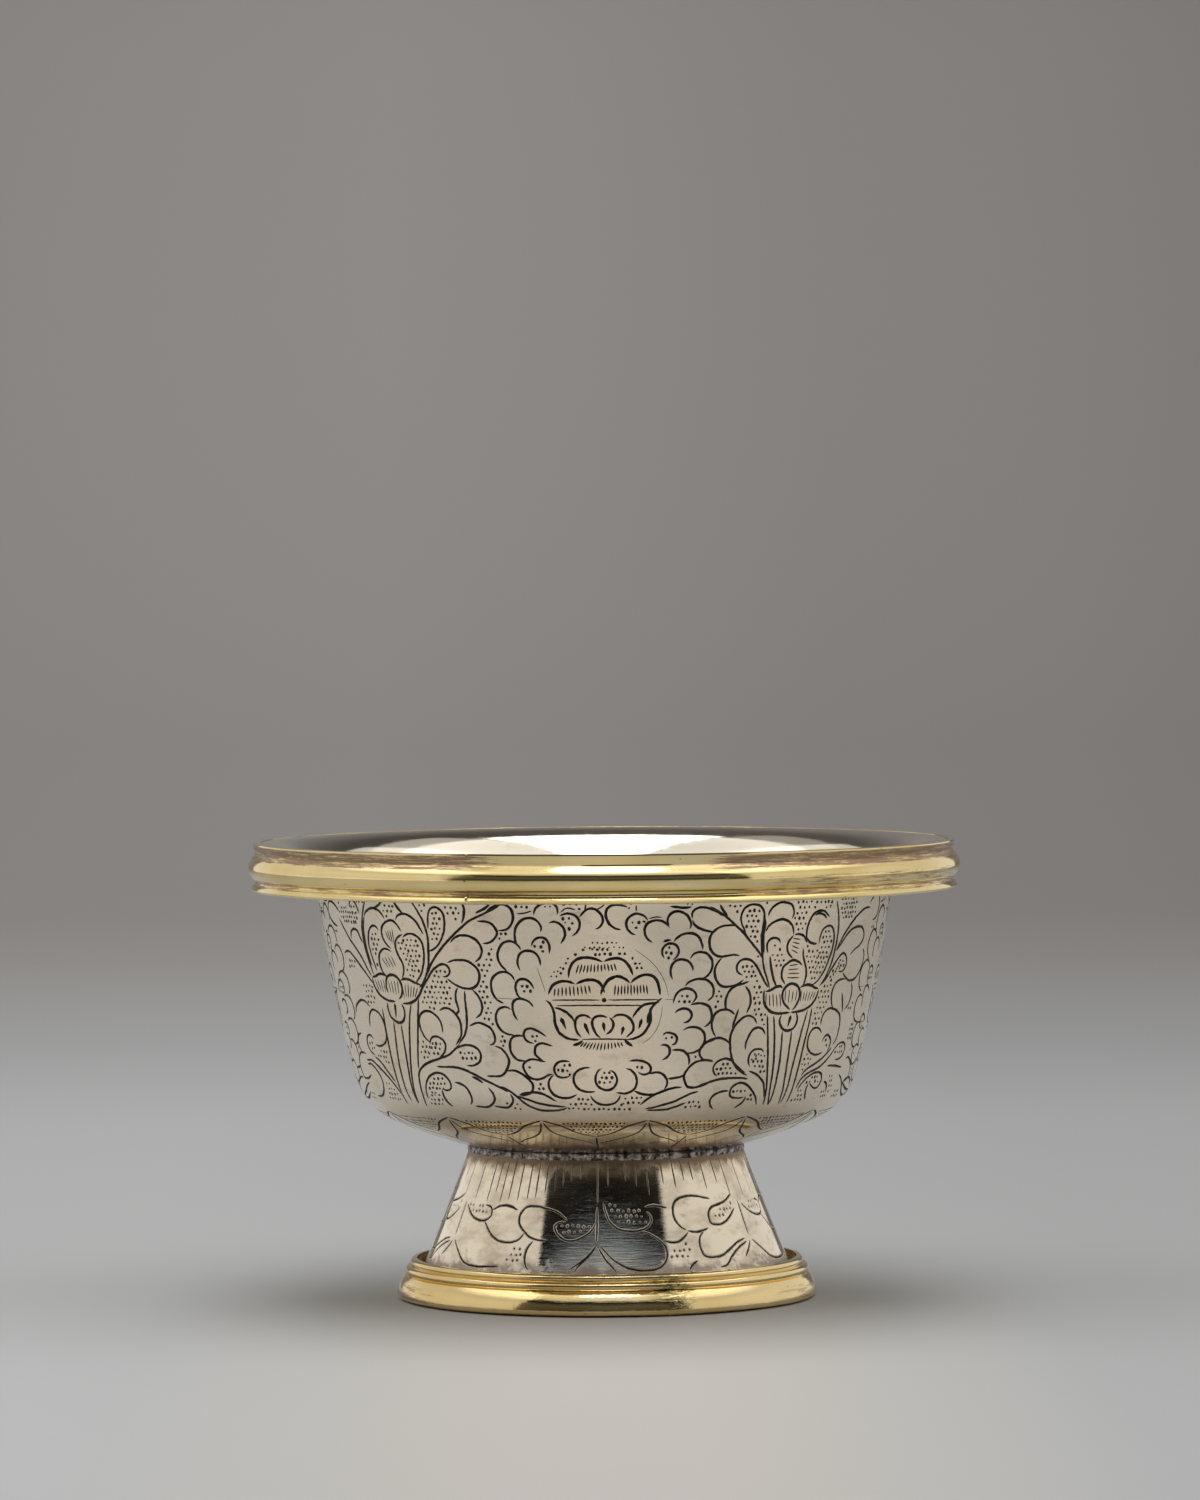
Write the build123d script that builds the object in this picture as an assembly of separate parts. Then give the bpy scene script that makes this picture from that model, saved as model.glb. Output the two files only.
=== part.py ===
from build123d import *

import os

# Footed offering bowl: a raised sheet bowl on a hollow conical foot, trimmed with two moulded strips.
# Every piece is turned about the Z axis. Millimetres, +Z up, the front towards -Y, and the origin on the
# axis in the plane that the foot rests on. Outlines are drawn as (radius, height).

# Raised bowl: one sheet from the axis to the edge of its flared lip, drawn as four tangent arcs
sheet_thickness = 0.9
floor_height = 18.3  # underside of the bowl, on the axis
dish_radius = 72.0
dish_sweep = 23.4
shoulder_radius = 9.0
shoulder_sweep = 51.1
wall_radius = 175.0
wall_sweep = 8.0
lip_radius = 7.6
lip_sweep = dish_sweep + shoulder_sweep + wall_sweep  # brings the lip's edge back to level

# Rim band: a moulded strip bent round the edge of the lip. Depths are from its top
bowl_height = 61.6
rim_diameter = 96.0  # over the round bead
rim_depth = 6.5
rim_edge_radius = 47.3
rim_edge_round = 0.15
rim_edge_depth = 0.4
rim_hollow_radius = 46.95
rim_hollow_depth = 2.0
rim_bead_start_radius = 47.4
rim_bead_start_depth = 2.25
rim_bead_depth = 3.55  # where the bead is widest
rim_bead_end_depth = 5.05
rim_groove_radius = 47.05
rim_groove_depth = 5.3
rim_lower_radius = 47.6
rim_lower_foot_radius = 47.2

# Foot skirt: a cone rolled from sheet, very slightly hollow in outline
skirt_thickness = 0.8
skirt_top_radius = 18.1
skirt_top_height = 21.0  # this end runs up into the bowl's underside, which trims it
skirt_bottom_radius = 26.3
skirt_bottom_height = 0.5
skirt_hollow = 0.1

# Foot ring: a stepped moulded strip bent round the foot of the skirt, its upper part standing clear of it
ring_height = 5.5
ring_bore_radius = 25.5
ring_land = 0.5  # flat top of the upper bead
ring_upper_radius = 26.55
ring_upper_middle = 4.95
ring_step_radius = 26.4
ring_step_height = 4.5
ring_bead_radius = 27.25
ring_bead_middle = 3.85
ring_bead_foot_radius = 26.9
ring_bead_foot_height = 3.3
ring_band_top_radius = 27.2
ring_band_bulge = 0.28
ring_radius = 28.3
ring_toe_height = 0.6
ring_rest_radius = 27.75

# Solder: beads along the three corners, and the butt joints that close the two strips and the rolled skirt
joint_bead = 1.2
rim_bead = 0.85
ring_bead = 1.0
seam_width = 0.3
rim_seam_azimuth = -22.0  # degrees from the front, positive towards +X
ring_seam_azimuth = 17.0
skirt_seam_azimuth = 180.0


def turned(*edges):
    """The solid that a closed outline sweeps about the Z axis."""
    outline = Plane.XZ * make_face(Curve() + list(edges))
    return revolve(outline, Axis.Z)


def sheet_line(inset):
    """The bowl's line from the axis to the lip's edge, at a depth inside its outer face."""
    dish = JernArc((0, floor_height + inset), (1, 0), dish_radius - inset, dish_sweep)
    shoulder = JernArc(dish @ 1, dish % 1, shoulder_radius - inset, shoulder_sweep)
    wall = JernArc(shoulder @ 1, shoulder % 1, wall_radius - inset, wall_sweep)
    lip = JernArc(wall @ 1, wall % 1, lip_radius + inset, -lip_sweep)
    return [dish, shoulder, wall, lip]


def lip_edge():
    """The lower corner of the lip's edge, where the rim band is soldered."""
    lip = sheet_line(0)[-1]
    return lip @ 1


def make_bowl_body():
    outer = sheet_line(0)
    inner = sheet_line(sheet_thickness)
    edge = Line(outer[-1] @ 1, inner[-1] @ 1)
    axis = Line(inner[0] @ 0, outer[0] @ 0)
    return turned(*outer, edge, *inner, axis)


def make_bowl_space():
    """The bowl with its inside filled, which trims what is soldered to its underside."""
    outer = sheet_line(0)
    top = Line(outer[-1] @ 1, (0, lip_edge().Y))
    axis = Line(top @ 1, outer[0] @ 0)
    return turned(*outer, top, axis)


def make_rim_ring():
    """The whole rim moulding, before its butt joint is cut."""
    top = bowl_height
    bore = lip_edge().X
    hollow_middle = top - (rim_edge_depth + rim_hollow_depth) / 2
    lower_middle = top - (rim_groove_depth + rim_depth) / 2
    land = Line((bore, top), (rim_edge_radius - rim_edge_round, top))
    rounding = RadiusArc(land @ 1, (rim_edge_radius, top - rim_edge_round), rim_edge_round)
    edge = Line(rounding @ 1, (rim_edge_radius, top - rim_edge_depth))
    hollow = ThreePointArc(
        edge @ 1, (rim_hollow_radius, hollow_middle), (rim_edge_radius, top - rim_hollow_depth)
    )
    fillet = Line(hollow @ 1, (rim_bead_start_radius, top - rim_bead_start_depth))
    bead = ThreePointArc(
        fillet @ 1, (rim_diameter / 2, top - rim_bead_depth), (rim_groove_radius, top - rim_bead_end_depth)
    )
    groove = Line(bead @ 1, (rim_groove_radius, top - rim_groove_depth))
    lower = ThreePointArc(
        groove @ 1, (rim_lower_radius, lower_middle), (rim_lower_foot_radius, top - rim_depth)
    )
    under = Line(lower @ 1, (bore, top - rim_depth))
    back = Line(under @ 1, land @ 0)
    return turned(land, rounding, edge, hollow, fillet, bead, groove, lower, under, back)


def skirt_line(inset):
    """The skirt's line from its foot to its top, at a depth inside its outer face."""
    middle_radius = (skirt_bottom_radius + skirt_top_radius) / 2 - skirt_hollow
    middle_height = (skirt_bottom_height + skirt_top_height) / 2
    return ThreePointArc(
        (skirt_bottom_radius - inset, skirt_bottom_height),
        (middle_radius - inset, middle_height),
        (skirt_top_radius - inset, skirt_top_height),
    )


def make_skirt_cone(bowl_space):
    """The whole skirt, trimmed to the bowl, before its butt joint is cut."""
    outer = skirt_line(0)
    inner = skirt_line(skirt_thickness)
    cone = turned(outer, Line(outer @ 1, inner @ 1), inner, Line(inner @ 0, outer @ 0))
    return cone - bowl_space


def make_skirt_space():
    """The skirt with its inside filled down to the rest plane, which trims the foot ring."""
    outer = skirt_line(0)
    top = Line(outer @ 1, (0, skirt_top_height))
    axis = Line(top @ 1, (0, 0))
    rest = Line(axis @ 1, (skirt_bottom_radius, 0))
    foot = Line(rest @ 1, outer @ 0)
    return turned(outer, top, axis, rest, foot)


def make_foot_ring(skirt_space):
    """The whole foot moulding, before its butt joint is cut."""
    land = Line((ring_bore_radius, ring_height), (ring_bore_radius + ring_land, ring_height))
    upper = ThreePointArc(
        land @ 1, (ring_upper_radius, ring_upper_middle), (ring_step_radius, ring_step_height)
    )
    bead = ThreePointArc(
        upper @ 1, (ring_bead_radius, ring_bead_middle), (ring_bead_foot_radius, ring_bead_foot_height)
    )
    step = Line(bead @ 1, (ring_band_top_radius, ring_bead_foot_height))
    band = SagittaArc(step @ 1, (ring_radius, ring_toe_height), ring_band_bulge)
    toe = RadiusArc(band @ 1, (ring_rest_radius, 0), ring_toe_height)
    rest = Line(toe @ 1, (ring_bore_radius, 0))
    back = Line(rest @ 1, land @ 0)
    return turned(land, upper, bead, step, band, toe, rest, back) - skirt_space


def meeting_point(line, other):
    """Where two outlines cross."""
    crossing = line.intersect(other)
    return crossing.vertices()[0].center()


def solder_bead(corner, first, first_reach, second, second_reach):
    """Solder in the corner where two outlines meet, as far along each as its reach, minus to run back."""
    sides = []
    ends = []
    for line, reach in ((first, first_reach), (second, second_reach)):
        start = line.param_at_point(corner)
        end = start + reach / line.length
        sides.append(line.trim(min(start, end), max(start, end)))
        ends.append(line @ end)
    return turned(*sides, Line(*ends)).solid()


def split_at_seam(ring, azimuth):
    """A closed ring as the bent strip and the slice of solder that closes it."""
    size = ring.bounding_box()
    slice_box = Box(size.max.X + 1, seam_width, size.max.Z + 1, align=(Align.MIN, Align.CENTER, Align.MIN))
    seam = Rot(0, 0, azimuth - 90) * slice_box
    return (ring - seam).solid(), (ring & seam).solid()


bowl_body = make_bowl_body()
bowl_space = make_bowl_space()
skirt_space = make_skirt_space()

rim_band, rim_seam_solder = split_at_seam(make_rim_ring(), rim_seam_azimuth)
foot_skirt, foot_skirt_seam_solder = split_at_seam(make_skirt_cone(bowl_space), skirt_seam_azimuth)
foot_ring, foot_ring_seam_solder = split_at_seam(make_foot_ring(skirt_space), ring_seam_azimuth)

dish = sheet_line(0)[0]
lip = sheet_line(0)[-1]
skirt = skirt_line(0)
rim_bore = Line(lip @ 1, (lip_edge().X, bowl_height - rim_depth))
ring_bore = Line((ring_bore_radius, 0), (ring_bore_radius, ring_height))
skirt_head = meeting_point(dish, skirt)
ring_throat = meeting_point(ring_bore, skirt)

parts = {
    "bowl_body": bowl_body.solid(),
    "rim_band": rim_band,
    "rim_seam_solder": rim_seam_solder,
    "rim_solder_bead": solder_bead(lip_edge(), lip, -rim_bead, rim_bore, rim_bead),
    "foot_skirt": foot_skirt,
    "foot_skirt_seam_solder": foot_skirt_seam_solder,
    "bowl_foot_solder_bead": solder_bead(skirt_head, dish, joint_bead, skirt, -joint_bead),
    "foot_ring": foot_ring,
    "foot_ring_seam_solder": foot_ring_seam_solder,
    "foot_ring_solder_bead": solder_bead(ring_throat, ring_bore, ring_bead, skirt, ring_bead),
}

os.makedirs("parts", exist_ok=True)
for name, solid in parts.items():
    export_step(solid, f"parts/{name}.step")
    print(name, "volume", round(solid.volume, 2), "mm3")
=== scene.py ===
import math
import random

import bpy
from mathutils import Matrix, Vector
from mathutils.geometry import delaunay_2d_cdt


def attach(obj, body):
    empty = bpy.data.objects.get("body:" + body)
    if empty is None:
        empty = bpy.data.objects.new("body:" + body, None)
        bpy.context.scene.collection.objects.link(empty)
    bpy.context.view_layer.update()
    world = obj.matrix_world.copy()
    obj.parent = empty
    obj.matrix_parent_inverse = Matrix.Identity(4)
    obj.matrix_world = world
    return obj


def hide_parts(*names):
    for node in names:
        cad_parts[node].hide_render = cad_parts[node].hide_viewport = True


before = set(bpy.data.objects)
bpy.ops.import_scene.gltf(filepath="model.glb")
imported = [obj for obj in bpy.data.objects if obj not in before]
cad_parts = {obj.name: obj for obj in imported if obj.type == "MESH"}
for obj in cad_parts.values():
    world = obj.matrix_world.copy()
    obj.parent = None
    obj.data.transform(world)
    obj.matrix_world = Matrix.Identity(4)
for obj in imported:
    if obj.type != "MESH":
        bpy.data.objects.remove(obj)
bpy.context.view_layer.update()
bpy.ops.object.select_all(action="DESELECT")
mm = 0.001  # sizes below are in millimetres, meshes in metres
print("frame loaded,", len(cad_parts), "nodes")


# outlines are lists of (radius, height)
def arcThrough(start, middle, end, steps):
    (ax, ay), (bx, by), (cx, cy) = start, middle, end
    d = 2 * (ax * (by - cy) + bx * (cy - ay) + cx * (ay - by))
    aa, bb, cc = ax * ax + ay * ay, bx * bx + by * by, cx * cx + cy * cy
    mx = (aa * (by - cy) + bb * (cy - ay) + cc * (ay - by)) / d
    my = (aa * (cx - bx) + bb * (ax - cx) + cc * (bx - ax)) / d
    radius = math.hypot(ax - mx, ay - my)
    first = math.atan2(ay - my, ax - mx)
    swing = (math.atan2(by - my, bx - mx) - first + math.pi) % math.tau - math.pi
    swing += (math.atan2(cy - my, cx - mx) - math.atan2(by - my, bx - mx) + math.pi) % math.tau - math.pi
    return [
        (mx + radius * math.cos(first + swing * i / steps), my + radius * math.sin(first + swing * i / steps))
        for i in range(steps + 1)
    ]


def turnOutline(name, outline, steps):  # one vertex, extruded along the outline, then spun round the axis
    bpy.ops.object.select_all(action="DESELECT")
    first = outline[0]
    bpy.ops.mesh.primitive_plane_add(size=mm, location=(first[0] * mm, 0, first[1] * mm))
    piece = bpy.context.object
    piece.name = name
    bpy.ops.object.transform_apply(location=True)
    bpy.ops.object.mode_set(mode="EDIT")
    bpy.ops.mesh.merge(type="CENTER")
    for a, b in zip(outline, outline[1:]):
        step = ((b[0] - a[0]) * mm, 0, (b[1] - a[1]) * mm)
        bpy.ops.mesh.extrude_region_move(TRANSFORM_OT_translate={"value": step})
    bpy.ops.mesh.select_all(action="SELECT")
    bpy.ops.mesh.spin(steps=steps, angle=math.tau, center=(0, 0, 0), axis=(0, 0, 1))
    mergeAndFaceOut()
    bpy.ops.object.mode_set(mode="OBJECT")
    return piece


def mergeAndFaceOut():  # in edit mode
    bpy.ops.mesh.select_all(action="SELECT")
    bpy.ops.mesh.remove_doubles(threshold=0.002 * mm)
    bpy.ops.mesh.normals_make_consistent(inside=False)


def handWork(piece, grain, depth, clear, ease=""):  # uneven hand finish, only ever inwards
    texture = bpy.data.textures.new(piece.name + "Unevenness", "CLOUDS")
    texture.noise_scale = grain * mm
    texture.noise_depth = 1
    modifier = piece.modifiers.new("handWork", "DISPLACE")
    modifier.texture = texture
    modifier.texture_coords = "LOCAL"
    modifier.vertex_group = ease
    modifier.strength = depth * mm
    modifier.mid_level = 1 + clear / depth
    bpy.context.view_layer.objects.active = piece
    bpy.ops.object.modifier_apply(modifier=modifier.name)


def easeAtSeam(piece, azimuth, reach):  # a vertex group that calms the unevenness next to a butt joint
    group = piece.vertex_groups.new(name="seamEase")
    least = 0.12
    for vertex in piece.data.vertices:
        angle = math.degrees(math.atan2(vertex.co.x, -vertex.co.y))
        away = abs((angle - azimuth + 180) % 360 - 180)
        group.add([vertex.index], least + (1 - least) * min(1, away / reach), "REPLACE")
    return group.name


def smoothShade(piece, angle):
    bpy.ops.object.select_all(action="DESELECT")
    piece.select_set(True)
    bpy.context.view_layer.objects.active = piece
    bpy.ops.object.shade_smooth_by_angle(angle=math.radians(angle))


# materials
def addNode(nodes, kind, inputs=None, **settings):
    node = nodes.new(kind)
    for key, value in settings.items():
        setattr(node, key, value)
    for key, value in (inputs or {}).items():
        node.inputs[key].default_value = value
    return node


def startMaterial(name, **shaderValues):
    material = bpy.data.materials.new(name)
    material.use_nodes = True
    nodes = material.node_tree.nodes
    shader = nodes["Principled BSDF"]
    for key, value in shaderValues.items():
        shader.inputs[key.replace("_", " ")].default_value = value
    place = addNode(nodes, "ShaderNodeTexCoord")
    return material, nodes, material.node_tree.links, shader, place


def noiseField(nodes, links, place, scale, detail=3, roughness=0.55, stretch=(1, 1, 1)):
    mapping = addNode(nodes, "ShaderNodeMapping", {"Scale": stretch})
    noise = addNode(nodes, "ShaderNodeTexNoise", {"Scale": scale, "Detail": detail, "Roughness": roughness})
    links.new(place.outputs["Object"], mapping.inputs["Vector"])
    links.new(mapping.outputs["Vector"], noise.inputs["Vector"])
    return noise.outputs["Fac"]


def colourRamp(nodes, links, source, stops):
    ramp = addNode(nodes, "ShaderNodeValToRGB")
    while len(ramp.color_ramp.elements) < len(stops):
        ramp.color_ramp.elements.new(0.5)
    for element, (position, colour) in zip(ramp.color_ramp.elements, stops):
        element.position = position
        element.color = (*colour, 1)
    links.new(source, ramp.inputs["Fac"])
    return ramp.outputs["Color"]


def rangeOf(nodes, links, source, low, high, toLow, toHigh):
    limits = {"From Min": low, "From Max": high, "To Min": toLow, "To Max": toHigh}
    spread = addNode(nodes, "ShaderNodeMapRange", limits)
    links.new(source, spread.inputs["Value"])
    return spread.outputs["Result"]


def mixColour(nodes, links, amount, first, second):
    mix = addNode(nodes, "ShaderNodeMix", data_type="RGBA")
    links.new(amount, mix.inputs["Factor"])
    for colour, socket in ((first, mix.inputs[6]), (second, mix.inputs[7])):
        if isinstance(colour, tuple):
            socket.default_value = (*colour, 1)
        else:
            links.new(colour, socket)
    return mix.outputs[2]


def bumpFrom(nodes, links, source, strength, distance, under=None):
    bump = addNode(nodes, "ShaderNodeBump", {"Strength": strength, "Distance": distance * mm})
    links.new(source, bump.inputs["Height"])
    if under:
        links.new(under, bump.inputs["Normal"])
    return bump.outputs["Normal"]


def combine(nodes, links, operation, *sources):
    node = addNode(nodes, "ShaderNodeMath", operation=operation)
    for source, socket in zip(sources, node.inputs):
        links.new(source, socket)
    return node.outputs["Value"]


def axesOf(nodes, links, place):
    axes = addNode(nodes, "ShaderNodeSeparateXYZ")
    links.new(place.outputs["Object"], axes.inputs["Vector"])
    return axes.outputs


# stains, and on the bowl a painted reflection of the gilt foot ring: height where solid, height where gone,
# scale and stretch of the streaks, colour
# polish: smoother below the first height, as rough as the rest above the second, and by what share
# matt: roughness of the stains
silverLook = {"clean": (0.93, 0.832, 0.69), "warm": (0.84, 0.73, 0.565), "dull": (0.5, 0.43, 0.34),
              "spots": (0.5, 240), "patches": (55, (1, 1, 1)), "hammer": (0.2, 0.04), "scratch": (0.1, 0.012),
              "roughness": (0.17, 0.32), "polish": (24, 27.5, 0.6), "matt": 0,
              # the first entry is a painted reflection of the gilt foot ring on the bowl's underside, not a
              # stain; the second is a brown stain
              "stainsAndPaintedReflection": [(23.6, 26.8, 150, (1, 1, 1), (0.80, 0.655, 0.41)),
                         (21.3, 24.8, 190, (1, 1, 1), (0.22, 0.16, 0.11))]}
skirtLook = {**silverLook, "clean": (0.90, 0.82, 0.68), "warm": (0.62, 0.525, 0.415), "spots": (0.8, 520),
             "patches": (230, (1, 1, 2)), "hammer": (0.3, 0.04), "scratch": (0.75, 0.012),
             "roughness": (0.02, 0.12), "polish": None, "matt": 0.5,
             "stainsAndPaintedReflection": [(19.8, 15.2, 270, (1, 1, 0.22), (0.5, 0.4, 0.29)),
                        (19.6, 18.2, 520, (1, 1, 0.6), (0.27, 0.19, 0.135)),
                        (4.9, 8.4, 420, (1, 1, 1.4), (0.33, 0.265, 0.235))]}
insideLook = {**silverLook, "clean": (0.81, 0.755, 0.66), "warm": (0.78, 0.72, 0.62), "spots": (0.15, 240),
              "hammer": (0.12, 0.04), "roughness": (0.07, 0.15), "polish": None, "stainsAndPaintedReflection": []}
footLook = {**silverLook, "clean": (0.62, 0.55, 0.45), "warm": (0.48, 0.41, 0.32), "roughness": (0.35, 0.6),
            "polish": None, "stainsAndPaintedReflection": []}


def agedSilver(name, look):
    material, nodes, links, shader, place = startMaterial(name, Metallic=1.0)
    patches = noiseField(nodes, links, place, look["patches"][0], 4, 0.6, look["patches"][1])
    tone = colourRamp(nodes, links, patches, [(0.3, look["warm"]), (0.55, look["clean"])])
    rubbed = noiseField(nodes, links, place, look["spots"][1], 5, 0.7, (1, 1, 1.6))
    spots = rangeOf(nodes, links, rubbed, 0.58, 0.72, 0, look["spots"][0])
    colour = mixColour(nodes, links, spots, tone, look["dull"])
    height = axesOf(nodes, links, place)["Z"]
    marks = []
    # each entry is a stain, except the bowl's gold band, which is a painted reflection of the gilt foot ring
    for solid, gone, scale, stretch, stainOrReflectionColour in look["stainsAndPaintedReflection"]:
        streaks = noiseField(nodes, links, place, scale, 5, 0.65, stretch)
        lean = rangeOf(nodes, links, height, solid * mm, gone * mm, 0.28, -0.3)  # more passes where solid
        stainOrReflectionMask = rangeOf(nodes, links, combine(nodes, links, "ADD", streaks, lean), 0.5, 0.68, 0, 0.8)
        colour = mixColour(nodes, links, stainOrReflectionMask, colour, stainOrReflectionColour)
        marks.append(stainOrReflectionMask)
    links.new(colour, shader.inputs["Base Color"])
    scuff = noiseField(nodes, links, place, 500, 4, 0.65, (1, 1, 3))
    rough = rangeOf(nodes, links, scuff, 0.3, 0.75, *look["roughness"])
    if look["polish"]:
        low, high, share = look["polish"]
        smoother = rangeOf(nodes, links, height, low * mm, high * mm, share, 1)
        rough = combine(nodes, links, "MULTIPLY", rough, smoother)
    if look["matt"]:
        for stainOrReflectionMask in marks:
            crust = rangeOf(nodes, links, stainOrReflectionMask, 0, 0.8, 0, look["matt"])
            rough = combine(nodes, links, "MAXIMUM", rough, crust)
    links.new(rough, shader.inputs["Roughness"])
    planish = noiseField(nodes, links, place, 130, 1)
    scratch = noiseField(nodes, links, place, 500, 4, 0.7, (0.5, 0.5, 7))
    hammered = bumpFrom(nodes, links, planish, *look["hammer"])
    links.new(bumpFrom(nodes, links, scratch, *look["scratch"], hammered), shader.inputs["Normal"])
    return material


# bands: heights between which the gilding is scuffed, left of one x and right of the other, and how much
# patch: middle of a pitted spot
giltLook = {"gold": (0.91, 0.75, 0.40), "deep": (0.77, 0.60, 0.25), "worn": (0.31, 0.195, 0.14),
            "green": (0.26, 0.235, 0.11), "roughness": (0.06, 0.2), "patch": None}
rimLook = {**giltLook, "wear": 0.05, "drawn": 0.25, "grit": 0.1,
           "bands": [(59.4, 61.4, -8, 7, 0.1), (55.8, 56.7, -3, 10, 0.05), (56.9, 58.6, -99, 14, 0.01)]}
ringLook = {**giltLook, "gold": (0.905, 0.73, 0.395), "deep": (0.765, 0.575, 0.255), "wear": 0.02,
            "drawn": 0.6, "grit": 0.75, "bands": [(0.5, 2.6, -17, 17, 0.01)], "patch": (8.6, -25.6, 3.4)}


def wornGilt(name, look):
    material, nodes, links, shader, place = startMaterial(name, Metallic=1.0)
    tone = noiseField(nodes, links, place, 60, 3)
    gold = colourRamp(nodes, links, tone, [(0.3, look["deep"]), (0.6, look["gold"])])
    streaks = noiseField(nodes, links, place, 60, 6, 0.7, (1, 1, 22))
    rubbed = rangeOf(nodes, links, streaks, 0.72 - look["wear"], 0.86 - look["wear"], 0, 1)
    axes = axesOf(nodes, links, place)
    scuffs = noiseField(nodes, links, place, 420, 8, 0.8, (0.4, 0.4, 7))
    for low, high, left, right, amount in look["bands"]:
        rise = rangeOf(nodes, links, axes["Z"], (low - 0.2) * mm, (low + 0.2) * mm, 0, 1)
        fall = rangeOf(nodes, links, axes["Z"], (high - 0.2) * mm, (high + 0.2) * mm, 1, 0)
        toLeft = rangeOf(nodes, links, axes["X"], (left - 9) * mm, left * mm, 1, 0.1)
        toRight = rangeOf(nodes, links, axes["X"], right * mm, (right + 9) * mm, 0.1, 1)
        aside = combine(nodes, links, "MAXIMUM", toLeft, toRight)
        inBand = combine(nodes, links, "MULTIPLY", combine(nodes, links, "MULTIPLY", rise, fall), aside)
        lean = combine(nodes, links, "ADD", scuffs, rangeOf(nodes, links, inBand, 0, 1, -0.3, amount))
        rubbed = combine(nodes, links, "MAXIMUM", rubbed, rangeOf(nodes, links, lean, 0.49, 0.6, 0, 0.92))
    colour = mixColour(nodes, links, rubbed, gold, look["worn"])
    pits = noiseField(nodes, links, place, 900, 3, 0.6, (1, 1, 3))
    pitted = rangeOf(nodes, links, pits, 0.68, 0.76, 0, 0.8)
    if look["patch"]:
        away = addNode(nodes, "ShaderNodeVectorMath", operation="DISTANCE")
        away.inputs[1].default_value = [p * mm for p in look["patch"]]
        links.new(place.outputs["Object"], away.inputs[0])
        near = rangeOf(nodes, links, away.outputs["Value"], 1.0 * mm, 4.0 * mm, 1, 0)
        spots = rangeOf(nodes, links, pits, 0.44, 0.54, 0, 0.95)
        pitted = combine(nodes, links, "MAXIMUM", pitted, combine(nodes, links, "MULTIPLY", near, spots))
    links.new(mixColour(nodes, links, pitted, colour, look["green"]), shader.inputs["Base Color"])
    polish = rangeOf(nodes, links, streaks, 0.35, 0.75, *look["roughness"])
    matt = rangeOf(nodes, links, rubbed, 0, 1, 0, 0.42)
    links.new(combine(nodes, links, "MAXIMUM", polish, matt), shader.inputs["Roughness"])
    drawn = noiseField(nodes, links, place, 160, 4, 0.6, (1, 1, 14))
    drawnLines = bumpFrom(nodes, links, drawn, look["drawn"], 0.03)
    gritty = bumpFrom(nodes, links, noiseField(nodes, links, place, 1300, 3), look["grit"], 0.02, drawnLines)
    links.new(bumpFrom(nodes, links, pitted, 0.4, -0.03, gritty), shader.inputs["Normal"])
    return material


def dullSolder(name, bright, dark):
    material, nodes, links, shader, place = startMaterial(name, Metallic=1.0)
    crust = noiseField(nodes, links, place, 1150, 6, 0.72)
    links.new(colourRamp(nodes, links, crust, [(0.42, dark), (0.62, bright)]), shader.inputs["Base Color"])
    links.new(rangeOf(nodes, links, crust, 0.35, 0.65, 0.55, 0.16), shader.inputs["Roughness"])
    links.new(bumpFrom(nodes, links, crust, 1, 0.2), shader.inputs["Normal"])
    return material


def cutPatina(name, low, high, metal, roughness):
    material, nodes, links, shader, place = startMaterial(name, Metallic=metal, Roughness=roughness)
    dirt = noiseField(nodes, links, place, 420, 3)
    links.new(colourRamp(nodes, links, dirt, [(0.35, low), (0.7, high)]), shader.inputs["Base Color"])
    return material


bowlSilver = agedSilver("bowlSilver", silverLook)
insideSilver = agedSilver("insideSilver", insideLook)
skirtSilver = agedSilver("skirtSilver", skirtLook)
footSilver = agedSilver("footSilver", footLook)
rimGilt = wornGilt("rimGilt", rimLook)
ringGilt = wornGilt("ringGilt", ringLook)
greySolder = dullSolder("greySolder", (0.62, 0.56, 0.535), (0.04, 0.031, 0.027))
darkCut = cutPatina("darkCut", (0.008, 0.006, 0.0045), (0.04, 0.03, 0.022), 0, 0.55)
brightCut = cutPatina("brightCut", (0.7, 0.63, 0.52), (0.95, 0.9, 0.8), 1, 0.48)
print("materials made")


# engraving: strokes are flat lists u, v, u, v ... along the unrolled surface
engraver = {"between": 8, "step": 0.36, "slope": 0.75, "floor": 0.011, "cell": 0.6, "thinnest": 0.012,
            "wobble": 0.02, "dotDepth": 0.13, "dotCorners": 5, "dotClear": 0.06, "dotMargin": 0.05}


def pairs(points):
    return [tuple(points[i:i + 2]) for i in range(0, len(points), 2)]


def along(points, move):  # the same points further round
    return [p + move if i % 2 == 0 else p for i, p in enumerate(points)]


def throughPoints(points, step):  # a smooth line through listed points, evenly stepped
    knots = [Vector(pair) for pair in pairs(points)]
    between = engraver["between"]
    if len(knots) > 2:
        ends = [2 * knots[0] - knots[1], *knots, 2 * knots[-1] - knots[-2]]
        fine = []
        for a, b, c, d in zip(ends, ends[1:], ends[2:], ends[3:]):
            for k in range(between):
                t = k / between
                fine.append(0.5 * (2 * b + (c - a) * t + (2 * a - 5 * b + 4 * c - d) * t * t
                                   + (3 * b - a - 3 * c + d) * t ** 3))
        fine.append(knots[-1])
    else:
        fine = knots
    runs = [0]
    for a, b in zip(fine, fine[1:]):
        runs.append(runs[-1] + (b - a).length)
    count = max(4, round(runs[-1] / step))
    line, k = [], 0
    for i in range(count + 1):
        want = runs[-1] * i / count
        while k < len(fine) - 2 and runs[k + 1] < want:
            k += 1
        part = (want - runs[k]) / max(1e-9, runs[k + 1] - runs[k])
        line.append(fine[k].lerp(fine[k + 1], min(1, part)))
    return line, runs[-1]


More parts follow.
